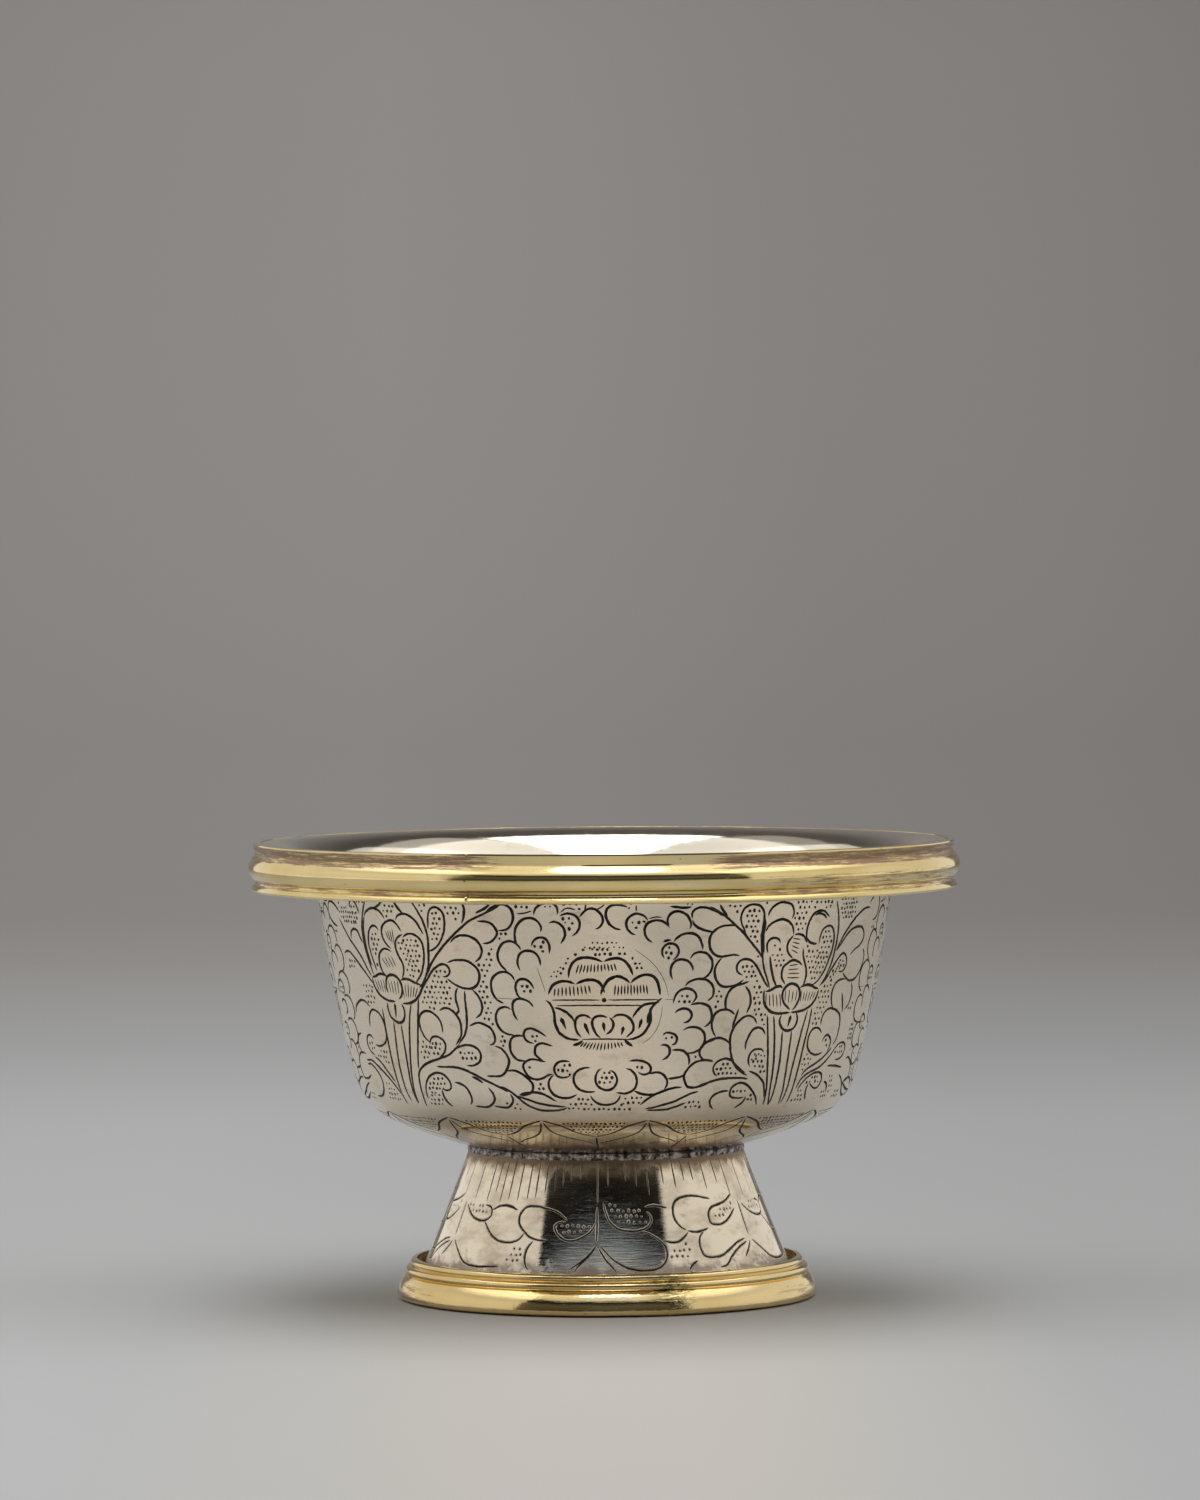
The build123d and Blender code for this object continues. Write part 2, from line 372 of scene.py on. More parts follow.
def makeStroke(points, width, drop=False):  # swells in the middle; a drop starts wide and ends in a point
    line, length = throughPoints(points, engraver["step"])
    taper = min(0.5, 0.15 * length)
    halves = []
    for i, point in enumerate(line):
        t = i / (len(line) - 1)
        if drop:
            swell = min(1, t / 0.2) * (1 - t) ** 0.6
        else:
            ends = min(1, t * length / taper, (1 - t) * length / taper)
            swell = ends ** 0.7 * (0.7 + 0.3 * math.sin(math.pi * t))
        halves.append(width / 2 * swell * random.uniform(0.86, 1.1))
        wobble = Vector((random.uniform(-1, 1), random.uniform(-1, 1)))  # the hand is not quite steady
        point += wobble * engraver["wobble"]
    return line, halves


def insidePolygon(point, polygon):
    inside = False
    for (ax, ay), (bx, by) in zip(polygon, polygon[1:] + polygon[:1]):
        if (ay > point[1]) != (by > point[1]) and point[0] < (bx - ax) * (point[1] - ay) / (by - ay) + ax:
            inside = not inside
    return inside


def hatchRow(row):  # count, the ends of the first and last stroke, and how far the middle ones reach beyond
    count, a, b, c, d, bulge = row
    for i in range(count):
        t = i / (count - 1)
        top = Vector(a).lerp(Vector(c), t)
        bottom = Vector(b).lerp(Vector(d), t)
        reach = bottom - top
        top += reach * random.uniform(0, 0.12)
        bottom += reach.normalized() * (bulge * math.sin(math.pi * t) + random.uniform(-0.08, 0.08))
        yield [*top, *bottom]


def cellsOf(low, high):
    size = engraver["cell"]
    for i in range(math.floor(low[0] / size), math.floor(high[0] / size) + 1):
        for j in range(math.floor(low[1] / size), math.floor(high[1] / size) + 1):
            yield i, j


def gatherSegments(strokes):
    cells = {}
    for line, halves in strokes:
        for a, b, ha, hb in zip(line, line[1:], halves, halves[1:]):
            reach = max(ha, hb)
            low = (min(a.x, b.x) - reach, min(a.y, b.y) - reach)
            high = (max(a.x, b.x) + reach, max(a.y, b.y) + reach)
            for cell in cellsOf(low, high):
                cells.setdefault(cell, []).append((a.x, a.y, b.x - a.x, b.y - a.y, ha, hb - ha))
    return cells


def strokesNear(cells, x, y):  # half width of each stroke that passes by, and how far off its middle is
    size = engraver["cell"]
    for ax, ay, dx, dy, half, grow in cells.get((math.floor(x / size), math.floor(y / size)), ()):
        t = min(1, max(0, ((x - ax) * dx + (y - ay) * dy) / max(1e-12, dx * dx + dy * dy)))
        yield half + grow * t, math.hypot(x - ax - dx * t, y - ay - dy * t)


def cutDepth(cells, x, y, margin=0):  # depth of the V cut at a point, deepest stroke wins
    depth = 0
    for half, away in strokesNear(cells, x, y):
        depth = max(depth, engraver["slope"] * (half + margin - away))
    return depth if depth > engraver["floor"] else 0


def cutShare(cells, x, y):  # 0 at a cut's edge, 1 along its middle
    return max([0] + [1 - away / max(1e-6, half) for half, away in strokesNear(cells, x, y)])


def stipple(cells, polygon, gap, size):
    dots = []
    us, vs = [p[0] for p in polygon], [p[1] for p in polygon]
    rows = int((max(vs) - min(vs)) / gap) + 1
    off = size + engraver["dotClear"]
    for j in range(rows):
        v = min(vs) + gap * (j + 0.5)
        u = min(us) + gap * (0.25 + 0.5 * (j % 2))
        while u < max(us):
            dot = (u + random.uniform(-0.12, 0.12) * gap, v + random.uniform(-0.11, 0.11) * gap)
            clear = all(not cutDepth(cells, dot[0] + a, dot[1] + b, engraver["dotMargin"])
                        for a, b in ((0, 0), (off, 0), (-off, 0), (0, off), (0, -off)))
            if insidePolygon(dot, polygon) and clear:
                wide = size * random.uniform(0.75, 1.15)
                dots.append((*dot, (wide, wide * random.uniform(0.8, 1.3))))
            u += gap
    return dots


def engraveBand(name, strokes, dots, plan, surface, materials):
    # constrained triangulation of the unrolled band, then rolled up with the cuts sunk in
    around, start, core = plan["around"], plan["start"], plan["core"]
    low, high, columns, rows = plan["low"], plan["high"], plan["columns"], plan["rows"]
    wrapped = []
    for line, halves in strokes:
        us = [p.x for p in line]
        for shift in (-around, 0, around):
            if max(us) + shift > start - 1 and min(us) + shift < start + around + 1:
                wrapped.append(([Vector((p.x + shift, p.y)) for p in line], halves))
    points, edges = [], []
    stepU, stepV = around / columns, (high - low) / rows
    for j in range(rows + 1):
        for i in range(columns + 1):
            points.append(Vector((start + i * stepU, low + j * stepV)))
    wide = columns + 1
    edges += [(i, i + 1) for i in range(columns)]
    edges += [(rows * wide + i, rows * wide + i + 1) for i in range(columns)]
    edges += [(j * wide + side, (j + 1) * wide + side) for j in range(rows) for side in (0, columns)]
    lanes = (1, core, 0, -core, -1) if core else (1, 0, -1)
    for line, halves in wrapped:
        chains = [[] for lane in lanes]
        for i, point in enumerate(line):
            heading = (line[min(i + 1, len(line) - 1)] - line[max(i - 1, 0)]).normalized()
            across = Vector((-heading.y, heading.x)) * halves[i]
            if halves[i] < engraver["thinnest"]:
                points.append(point)
                for chain in chains:
                    chain.append(len(points) - 1)
                continue
            for chain, lane in zip(chains, lanes):
                points.append(point + across * lane)
                chain.append(len(points) - 1)
        for chain in chains:
            edges += [(a, b) for a, b in zip(chain, chain[1:]) if a != b]
    dotDepths, corners = {}, engraver["dotCorners"]
    for u, v, size in dots:
        for shift in (-around, 0, around):
            if start + 0.5 < u + shift < start + around - 0.5:
                turn = random.uniform(0, math.tau)
                for share in (1, 0.5) if core else (1,):
                    first = len(points)
                    for k in range(corners):
                        angle = turn + math.tau * k / corners
                        points.append(Vector((u + shift + share * size[0] * math.cos(angle),
                                              v + share * size[1] * math.sin(angle))))
                        if share < 1:
                            dotDepths[first + k] = engraver["dotDepth"] * 0.6
                    edges += [(first + k, first + (k + 1) % corners) for k in range(corners)]
                dotDepths[len(points)] = engraver["dotDepth"]
                points.append(Vector((u + shift, v)))
    flat, _, triangles, origins, _, _ = delaunay_2d_cdt(points, edges, [], 0, 1e-6, True)
    cells = gatherSegments(wrapped)
    depths, dotPoints = [], set()
    for point, sources in zip(flat, origins):
        depth = cutDepth(cells, point.x, point.y)
        deepest = max([dotDepths[source] for source in sources if source in dotDepths], default=0)
        if deepest:
            depth = max(depth, deepest)
            dotPoints.add(len(depths))
        if point.y < low + 1e-4 or point.y > high - 1e-4:
            depth = 0
        depths.append(depth)
    spots, outward = [], []
    for point, depth in zip(flat, depths):
        radius, height, normalR, normalZ = surface(point.y)
        angle = (point.x - start) / around * math.tau + start / around * math.tau
        radius, height = radius - depth * normalR, height - depth * normalZ
        spots.append((radius * math.sin(angle) * mm, -radius * math.cos(angle) * mm, height * mm))
        outward.append((normalR * math.sin(angle), -normalR * math.cos(angle), normalZ))
    faces, looks = [], []  # looks: 0 the plain surface, 2 a cut's sides, 3 its core
    for triangle in triangles:
        centreU = sum(flat[k].x for k in triangle) / 3
        centreV = sum(flat[k].y for k in triangle) / 3
        if start < centreU < start + around and low < centreV < high:
            faces.append(triangle)
            look = 2 if max(depths[k] for k in triangle) > 0 else 0
            if look and core:
                inDot = all(k in dotPoints for k in triangle)
                look = 3 if inDot or cutShare(cells, centreU, centreV) > 1 - core else 2
            looks.append(look)
    mesh = bpy.data.meshes.new(name)
    mesh.from_pydata(spots, [], faces)
    for material in materials:
        mesh.materials.append(material)
    mesh.polygons.foreach_set("material_index", looks)
    facing = mesh.attributes.new("outward", "FLOAT_VECTOR", "POINT")
    facing.data.foreach_set("vector", [x for normal in outward for x in normal])
    band = bpy.data.objects.new(name, mesh)
    bpy.context.scene.collection.objects.link(band)
    return band


def joinBand(piece, band, materials):  # the engraved band becomes part of the turned piece
    for material in materials:
        piece.data.materials.append(material)
    piece.data.polygons.foreach_set("material_index", [1] * len(piece.data.polygons))
    bpy.ops.object.select_all(action="DESELECT")
    band.select_set(True)
    piece.select_set(True)
    bpy.context.view_layer.objects.active = piece
    bpy.ops.object.join()
    bpy.ops.object.mode_set(mode="EDIT")
    mergeAndFaceOut()
    bpy.ops.object.mode_set(mode="OBJECT")
    smoothShade(piece, 40)
    mesh = piece.data
    true = [Vector(item.vector) for item in mesh.attributes["outward"].data]
    normals = [Vector((0, 0, 0))] * len(mesh.loops)
    smooth = []  # the cuts stay flat, the rest follows the true surface
    for face in mesh.polygons:
        smooth.append(face.material_index < 2)
        for loop in face.loop_indices:
            outward = true[mesh.loops[loop].vertex_index]
            if face.material_index > 1:
                normals[loop] = face.normal.copy()
            elif outward.length > 0.5 and outward.dot(face.normal) > 0.5:
                normals[loop] = outward
    mesh.polygons.foreach_set("use_smooth", smooth)
    mesh.normals_split_custom_set([tuple(n) for n in normals])
    mesh.attributes.remove(mesh.attributes["outward"])


random.seed(7)

# the medallion at the front: an offering bowl heaped with three mounds, in a ring of leaf lobes
medallion = {
    "at": [0, 56.55],
    "bold": [
        [-4.58, 45.4, -4.52, 46.2, -4.27, 47.04, -3.75, 47.77, -2.92, 48.15, -2.08, 48.19, -1.25, 48.02,
         -.52, 47.7, -.17, 47.6],
        [-.17, 47.6, .42, 47.9, 1.35, 48.08, 2.19, 47.9, 2.81, 47.35, 3.23, 46.6, 3.54, 45.7],
        [-7.25, 43.19, -6.98, 43.92, -6.56, 44.54, -5.83, 44.96, -5, 45.06, -4.27, 44.9, -3.75, 44.6],
        [-3.75, 44.6, -3.12, 44.96, -2.29, 45.2, -1.46, 45.2, -.73, 44.85, -.31, 44.23, -.06, 43.4],
        [-.52, 43.08, -.42, 43.7, -.1, 44.44, .42, 45.17, 1.15, 45.58, 1.88, 45.63, 2.6, 45.27,
         3.19, 44.7],
        [3.19, 44.7, 3.75, 45.27, 4.48, 45.69, 5.31, 45.83, 6.04, 45.65, 6.56, 45.06, 6.88, 44.1,
         7.04, 42.98],
        [-7.7, 42.56, -7.19, 42.15, -6.81, 41.4, -6.6, 40.58, -6.56, 39.54, -6.35, 38.7, -5.94, 37.98,
         -5.2, 37.46, -4.38, 37.2, -3.33, 37.15],
        [7.4, 42.73, 6.77, 42.25, 6.15, 41.6, 5.83, 41, 5.9, 39.96, 5.73, 39.1, 5.3, 38.3, 4.69, 37.67,
         3.85, 37.3, 2.92, 37.15],
        [-2.92, 37.15, -3.44, 36.67, -4.38, 36.4], [2.46, 37.15, 2.92, 36.73, 3.7, 36.15],
    ],
    "lobes": [
        [7.08, 42.15, 6.04, 42, 5, 41.8, 4.27, 41.2, 3.75, 40.48, 3.54, 39.96],
        [-6.67, 41.48, -6.04, 41.4, -5.2, 41, -4.58, 40.48, -4.12, 39.85, -4.02, 39.3],
        [-.52, 37.3, -1.15, 37.88, -1.56, 38.7, -1.71, 39.54, -1.46, 40.12, -.83, 40.38, 0, 40.27,
         .35, 40.06],
        [.52, 40.23, .94, 39.75, 1.08, 39.12, .79, 38.4, .04, 37.83],
        [-3.12, 37.46, -3.65, 38.08, -3.9, 38.9, -3.9, 39.54, -3.65, 40.17, -3.02, 40.48, -2.4, 40.38,
         -1.67, 39.96],
        [.83, 40.02, 1.46, 40.44, 2.08, 40.52, 2.7, 40.38, 3.33, 39.85, 3.69, 39.02, 3.65, 38.4,
         3.12, 37.77, 2.7, 37.4],
        [-8.65, 53.7, -8.54, 54.44, -8.02, 55.06, -7.19, 55.38, -6.35, 55.38, -5.83, 54.96,
         -5.67, 54.33, -5.83, 53.8],
        [-10.83, 49.54, -11.1, 50.17, -11.2, 51.1, -11.04, 52.04, -10.5, 52.88, -9.79, 53.33,
         -8.96, 53.4, -8.23, 52.98, -7.8, 52.25, -7.9, 51.5],
        [-6.9, 52.7, -6.25, 52.94, -5.5, 52.67, -5, 52.04, -4.85, 51.3, -5.1, 50.5, -5.5, 49.96],
        [-3.12, 53.5, -2.5, 54.23, -1.88, 54.65, -1.15, 54.58, -.52, 54.02, -.2, 53.3, -.3, 52.67,
         -.62, 52.15, -1.25, 51.94],
        [2.08, 51.83, 1.25, 52.04, .62, 52.56, .2, 53.4, .17, 54.23, .52, 54.85, 1.25, 55.12,
         2.08, 55.06, 2.9, 54.75],
        [5.94, 50.06, 5.3, 50.58, 4.94, 51.3, 4.94, 52.15, 5.3, 52.67, 6.04, 52.98, 6.88, 52.98,
         7.6, 52.56, 8.02, 51.94],
        [8.02, 52.25, 7.7, 52.88, 7.88, 53.6, 8.44, 54.08, 9.27, 54.12, 10.1, 53.7, 10.58, 52.98,
         10.73, 52.25, 10.5, 51.73],
        [10.83, 53.08, 10.83, 53.9, 11.25, 54.44, 12.08, 54.65, 13.02, 54.44, 13.96, 54.02, 15, 53.3],
        [10.83, 53.08, 11.15, 52.35, 11.88, 51.83, 12.7, 51.5, 13.75, 51.3],
        [7.9, 54.85, 8.75, 54.75, 9.8, 54.6, 10.83, 54.7],
        [8.54, 50.06, 8.85, 50.54, 9.48, 51, 10.3, 51.25, 11.25, 51.1, 11.88, 50.58, 12.25, 49.75,
         12.4, 48.9],
        [7.2, 50.1, 7.7, 50.33, 8.3, 50.4],
        [10.73, 47.77, 11.15, 48.4, 11.88, 48.7, 12.8, 48.56, 13.54, 47.88, 13.8, 47.04, 13.65, 46.1,
         13.02, 45.38, 12.3, 45.12],
        [8.65, 45.06, 8.33, 45.8, 8.3, 46.5, 8.54, 47.25, 9.17, 47.73, 9.9, 47.77, 10.62, 47.46,
         11.15, 46.73, 11.2, 46.1],
        [10.2, 44.1, 10.73, 44.69, 11.56, 45.06, 12.5, 45.12, 13.3, 44.85, 13.96, 44.23, 14.2, 43.5,
         14.06, 42.67, 13.3, 42.04],
        [11.04, 41.6, 11.77, 41.83, 12.7, 41.83, 13.65, 41.4, 14.1, 40.58, 14.17, 39.65, 13.75, 38.9,
         13.1, 38.6],
        [9.06, 40.58, 9.58, 41.04, 10.3, 41.2, 11.04, 40.96, 11.4, 40.38, 11.25, 39.75, 10.83, 39.38,
         10.2, 39.27],
        [10.27, 38.23, 11.04, 38.6, 11.88, 38.65, 12.7, 38.4, 13.3, 37.77, 13.5, 36.94, 13.3, 36.1,
         12.7, 35.48, 11.88, 35.17, 11, 35.1],
        [7.25, 36.3, 8.02, 36.35, 8.54, 36, 8.7, 35.38, 8.38, 34.7, 7.6, 34.23],
        [8.85, 35.58, 9.58, 35.62, 10.5, 35.48, 11.15, 34.96, 11.5, 34.23, 11.46, 33.4],
        [10.94, 32.25, 10.4, 31.9, 9.58, 31.77, 8.54, 31.67],
        [5.83, 32.35, 6.67, 32.6, 7.4, 32.56, 8.1, 32.15, 8.54, 31.4, 8.5, 30.7, 8.12, 30.17],
        [3.85, 30.17, 4.8, 29.75, 5.83, 29.54, 7.1, 29.65],
        [-2.04, 33.4, -2.9, 33.3, -3.75, 32.98, -4.27, 32.35, -4.4, 31.6, -4.17, 30.9, -3.65, 30.38,
         -2.8, 30.06, -2.08, 30, -1.35, 30.1],
        [2.7, 33.25, 3.44, 32.98, 4.06, 32.35, 4.3, 31.5, 4.17, 30.7, 3.75, 30.17, 2.9, 29.8,
         2.08, 29.8, 1.35, 29.9],
        [-2.2, 29.58, -1.77, 28.9, -1.15, 28.4, -.3, 28.12, .62, 28.2, 1.46, 28.54, 1.9, 29.12,
         2.04, 29.65],
        [-6.98, 32.35, -7.5, 32.04, -7.88, 31.4, -7.9, 30.7, -7.6, 29.96, -6.98, 29.44, -6.04, 29.17,
         -5, 29.2, -3.96, 29.7],
        [-8.02, 34.1, -8.85, 34.3, -9.8, 34.48, -10.6, 34.3, -11.2, 33.9, -11.35, 33.4, -11.15, 32.77,
         -10.83, 32.25, -10.2, 31.8, -9.38, 31.7, -8.54, 31.94, -7.9, 32.3, -7.1, 32.46],
        [-6.98, 36.25, -7.7, 36.5, -8.54, 36.67, -9.17, 36.4, -9.48, 35.9, -9.48, 35.17, -9.06, 34.65,
         -8.33, 34.17],
        [-10.73, 37.56, -11.46, 37.67, -12.2, 37.56, -12.7, 37.15, -12.96, 36.4, -12.9, 35.48,
         -12.5, 34.75, -11.88, 34.3, -10.83, 34.23],
        [-12.3, 41.1, -12.8, 41.46, -13.4, 41.5, -14.06, 41.2, -14.48, 40.58, -14.6, 39.85,
         -14.4, 39.02, -13.96, 38.3, -13.2, 37.88, -12.1, 37.7],
        [-9.27, 41.5, -9.7, 42.15, -10.3, 42.5, -11.04, 42.67, -11.77, 42.46, -12.1, 41.83, -12.1, 41,
         -11.88, 40.27, -11.5, 39.65],
        [-11.56, 44.96, -11.77, 45.58, -12.3, 46.04, -13.02, 46.25, -13.85, 46, -14.48, 45.48,
         -14.8, 44.75, -14.83, 43.9, -14.6, 43.08, -14.17, 42.46, -13.2, 41.94],
        [-12.4, 46.2, -13.02, 46.83, -13.5, 47.56, -13.65, 48.4, -13.4, 49.2, -12.9, 49.96,
         -12.08, 50.33, -11.35, 50.17, -10.73, 49.65, -10.5, 49.02],
        [-10.73, 46.35, -11, 47.04, -11, 47.88, -10.73, 48.6, -10.1, 49.02, -9.38, 49.06, -8.65, 48.75,
         -8.2, 47.98, -8.06, 47.04],
        [-15, 54.02, -14.17, 54.65, -13.3, 55.06, -12.5, 55.2, -11.77, 54.85, -11.35, 54.1, -11.3, 53.3,
         -11.67, 52.35, -12.4, 51.8, -13.4, 51.67],
        [-13.96, 32.77, -13.1, 32.9, -12.3, 32.77, -11.35, 32.25, -10.6, 31.6, -10.17, 30.9,
         -10.3, 30.17, -10.8, 29.7, -11.67, 29.5, -12.5, 29.54],
        [-15, 30.7, -13.75, 30.06, -12.9, 29.44, -11.88, 28.5, -10.83, 27.77, -9.38, 27.25, -7.7, 27.2,
         -6.25, 27.4, -5.4, 27.8],
        [-12.9, 29.44, -11.25, 28.9, -9.8, 28.4, -8.33, 28.08, -6.67, 27.9, -5.6, 27.83],
        [-12.2, 29.65, -11.04, 29.85, -9.8, 29.9, -8.75, 29.65, -7.7, 29.1, -6.9, 28.54],
        [15, 33.9, 14.17, 34.06, 13.2, 34.06, 12.3, 33.8, 11.56, 33.2, 11.04, 32.46, 10.9, 31.83,
         11.15, 31.1, 11.56, 30.48, 12.7, 30.4, 13.75, 30.58, 15, 31.1],
        [15, 36.83, 13.96, 36.6, 13.2, 36.1, 12.88, 35.38, 13.02, 34.65, 13.65, 34.17],
        [4.8, 28, 5.6, 28.7, 6.67, 29.44, 7.9, 29.96, 9.38, 30.38, 10.83, 30.5],
        [5.5, 27.4, 6.67, 27.6, 8.1, 27.98, 9.58, 28.4, 10.83, 28.96, 12.1, 29.54, 13.3, 29.85],
        [5.83, 27.2, 7.5, 27.2, 8.96, 27.3, 10.4, 27.77, 11.67, 28.3],
    ],
    "balls": [
        [-5.5, 53.6, -5.1, 53.88, -4.38, 54.02, -3.65, 53.8, -3.12, 53.2, -3.02, 52.46, -3.33, 51.62,
         -4.06, 51],
        [3.85, 51.1, 3.23, 51.4, 2.7, 52.15, 2.67, 52.88, 3.02, 53.5, 3.65, 53.9, 4.38, 53.85, 5, 53.46,
         5.3, 52.9],
        [7.46, 47.9, 7.12, 48.7, 7.3, 49.44, 7.8, 49.9, 8.54, 49.9, 9.12, 49.44, 9.27, 48.7,
         8.96, 48.08, 8.44, 47.67],
        [8.8, 41.83, 8.96, 42.67, 9.27, 43.3, 9.9, 43.77, 10.73, 43.88, 11.46, 43.54, 11.88, 42.88,
         11.67, 42.25, 11.25, 41.83],
        [7.6, 37.56, 7.9, 37.94, 8.54, 37.98, 9.27, 37.67, 9.58, 37.15, 9.38, 36.5, 8.75, 36.27],
        [3.12, 34.17, 3.96, 34.3, 4.9, 34.2, 5.73, 33.85, 6.15, 33.3, 6.08, 32.67, 5.52, 32.35,
         4.9, 32.4, 4.38, 32.77],
        [-.42, 33.3, -1.04, 32.88, -1.35, 32.15, -1.35, 31.3, -.94, 30.69, -.2, 30.3, .62, 30.3,
         1.25, 30.75, 1.56, 31.4, 1.46, 32.15, 1.04, 32.77, .52, 33.02],
        [-4.7, 34.17, -5.5, 34.27, -6.35, 34.12, -6.88, 33.6, -7.02, 32.98, -6.77, 32.35, -6.15, 31.98,
         -5.4, 32.04, -4.8, 32.25],
        [-7.8, 37.56, -8.54, 38.08, -9.27, 38.5, -10, 38.67, -10.6, 38.46, -10.9, 37.88, -10.77, 37.25,
         -10.3, 36.83, -9.48, 36.6],
        [-9.06, 43.9, -9.48, 44.75, -10, 45.2, -10.6, 45.3, -11.2, 45.06, -11.5, 44.44, -11.5, 43.7,
         -11.25, 43.08, -10.83, 42.67],
        [-9.17, 49.54, -8.85, 50.38, -8.23, 50.83, -7.5, 50.8, -7.04, 50.27, -6.83, 49.4, -6.94, 48.6],
    ],
    "fine": [
        [-7, 42.5, -4, 42.52, -.46, 42.52], [.22, 42.52, 3, 42.5, 7.1, 42.46],
        [-6.35, 41.77, -1, 41.8, 5.2, 41.73], [-3.2, 37.2, 0, 37.25, 3.9, 37.12],
        [-2.4, 54.3, -2.2, 55.3], [-1, 54.4, -.4, 54.85, .1, 55.2], [3.85, 54.2, 3.85, 55.1],
        [-10.9, 53.95, -9.8, 54.05, -8.8, 54.4], [5.3, 53.2, 6.2, 53.45, 7.1, 53.4],
        [-5.4, 54.1, -4.6, 54.7, -3.4, 54.5],
    ],
    "scratches": [
        [3.6, 49.3, 5.4, 47.9, 6.8, 46.3, 7.7, 44.6, 8.2, 42.8], [-8.6, 47, -8, 45, -7.6, 43.4],
        [7.4, 41.8, 7.3, 40.4, 6.9, 38.8, 6, 37.4, 4.8, 36.5], [-15, 42.7, -11.6, 42.6],
        [7.6, 42.5, 9, 42.45],
    ],
    "drops": [
        [-5.77, 40.2, -5.1, 38.5], [-2.75, 39.5, -2.05, 37.7], [-.27, 39.6, -.08, 38.2],
        [2.4, 39, 2.1, 37.7], [4.8, 40, 4.36, 38.5], [5.75, 40.8, 5.42, 39.2],
    ],
    "hatchWidth": .225,
    "hatch": [
        (12, (-3.2, 47.4), (-3.65, 46), (1.1, 47.5), (1.45, 46.4), 0),
        (10, (-6.35, 44.3), (-6.5, 42.95), (-2.1, 44.7), (-1.85, 43.3), .15),
        (11, (1.35, 44.7), (1.2, 42.95), (5.2, 44.7), (5.45, 43.2), 0),
        (13, (-2.8, 36.9), (-3.4, 36.15), (2, 36.9), (2.3, 36.2), .55),
    ],
    "spots": [(-.12, 42.5, .36)],
    "coarse": [
        [-4.9, 45.2, -6, 45.4, -5.5, 46.8, -4.9, 47.7, -4.2, 48.7, -3, 49.2, -1.5, 49.3, 0, 49.3,
         1.5, 49.2, 3, 48.7, 4.1, 47.8, 4.9, 46.5, 4.2, 46.1, 3.5, 46.9, 3, 47.9, 1.8, 48.4, .3, 48.2,
         -.2, 47.9, -1, 48.3, -2.4, 48.5, -3.6, 48.1, -4.3, 47.5, -4.7, 46.5],
        [-13.4, 50.5, -12, 50.4, -11.6, 51.5, -13.3, 51.6],
        [-15, 35.6, -13.3, 35.3, -13.2, 37.2, -14.2, 37.7, -15, 37.4],
    ],
    "faint": [
        [-3.2, 49.2, -2.4, 50, -.6, 50.3, .8, 50.2, 2.2, 50, 3.2, 49.2],
        [-6.9, 45.6, -6, 45.4, -5.5, 46.9, -6.4, 46.5], [-8.6, 54.6, -5.9, 54.7, -5.9, 55.6, -8.6, 55.6],
        [2.2, 54.6, 3.7, 54.4, 3.7, 55.4, 2.2, 55.4], [8.2, 54.9, 10.8, 54.8, 10.8, 55.6, 8.2, 55.6],
    ],
    "fields": [
        [-5.5, 27.2, -2.5, 27.2, -2.3, 29.5, -4.6, 29.5], [2.3, 28, 4.7, 28, 5.7, 29.5, 2.4, 29.7],
        [-2.6, 27.1, 3.8, 27.1, 2.4, 28.4, -2.2, 28.4],
        [-13.3, 32.9, -11.8, 32.95, -11.6, 33.9, -12.4, 34.4, -13.2, 34.2],
        [-10.9, 32.3, -10.1, 32.2, -10.1, 33.6, -10.9, 33.5],
        [-9.9, 30, -8, 29.3, -7.8, 31.5, -9.4, 31.6], [11.5, 34.4, 12.9, 34.3, 13, 36.1, 12, 35.1],
        [11.8, 50.4, 13, 49.5, 13.1, 51.1, 12, 51.5],
        [-14.9, 27.1, -11.8, 27.1, -12.6, 28.5, -14.7, 28.5],
        [11.5, 27.2, 13.9, 27.2, 13.7, 29, 12, 28.8], [-11.3, 54.6, -9, 54.5, -8.7, 55.6, -11.8, 55.6],
        [-5.4, 54.4, -3.2, 54.2, -2.6, 55.5, -5.2, 55.5],
    ],
}

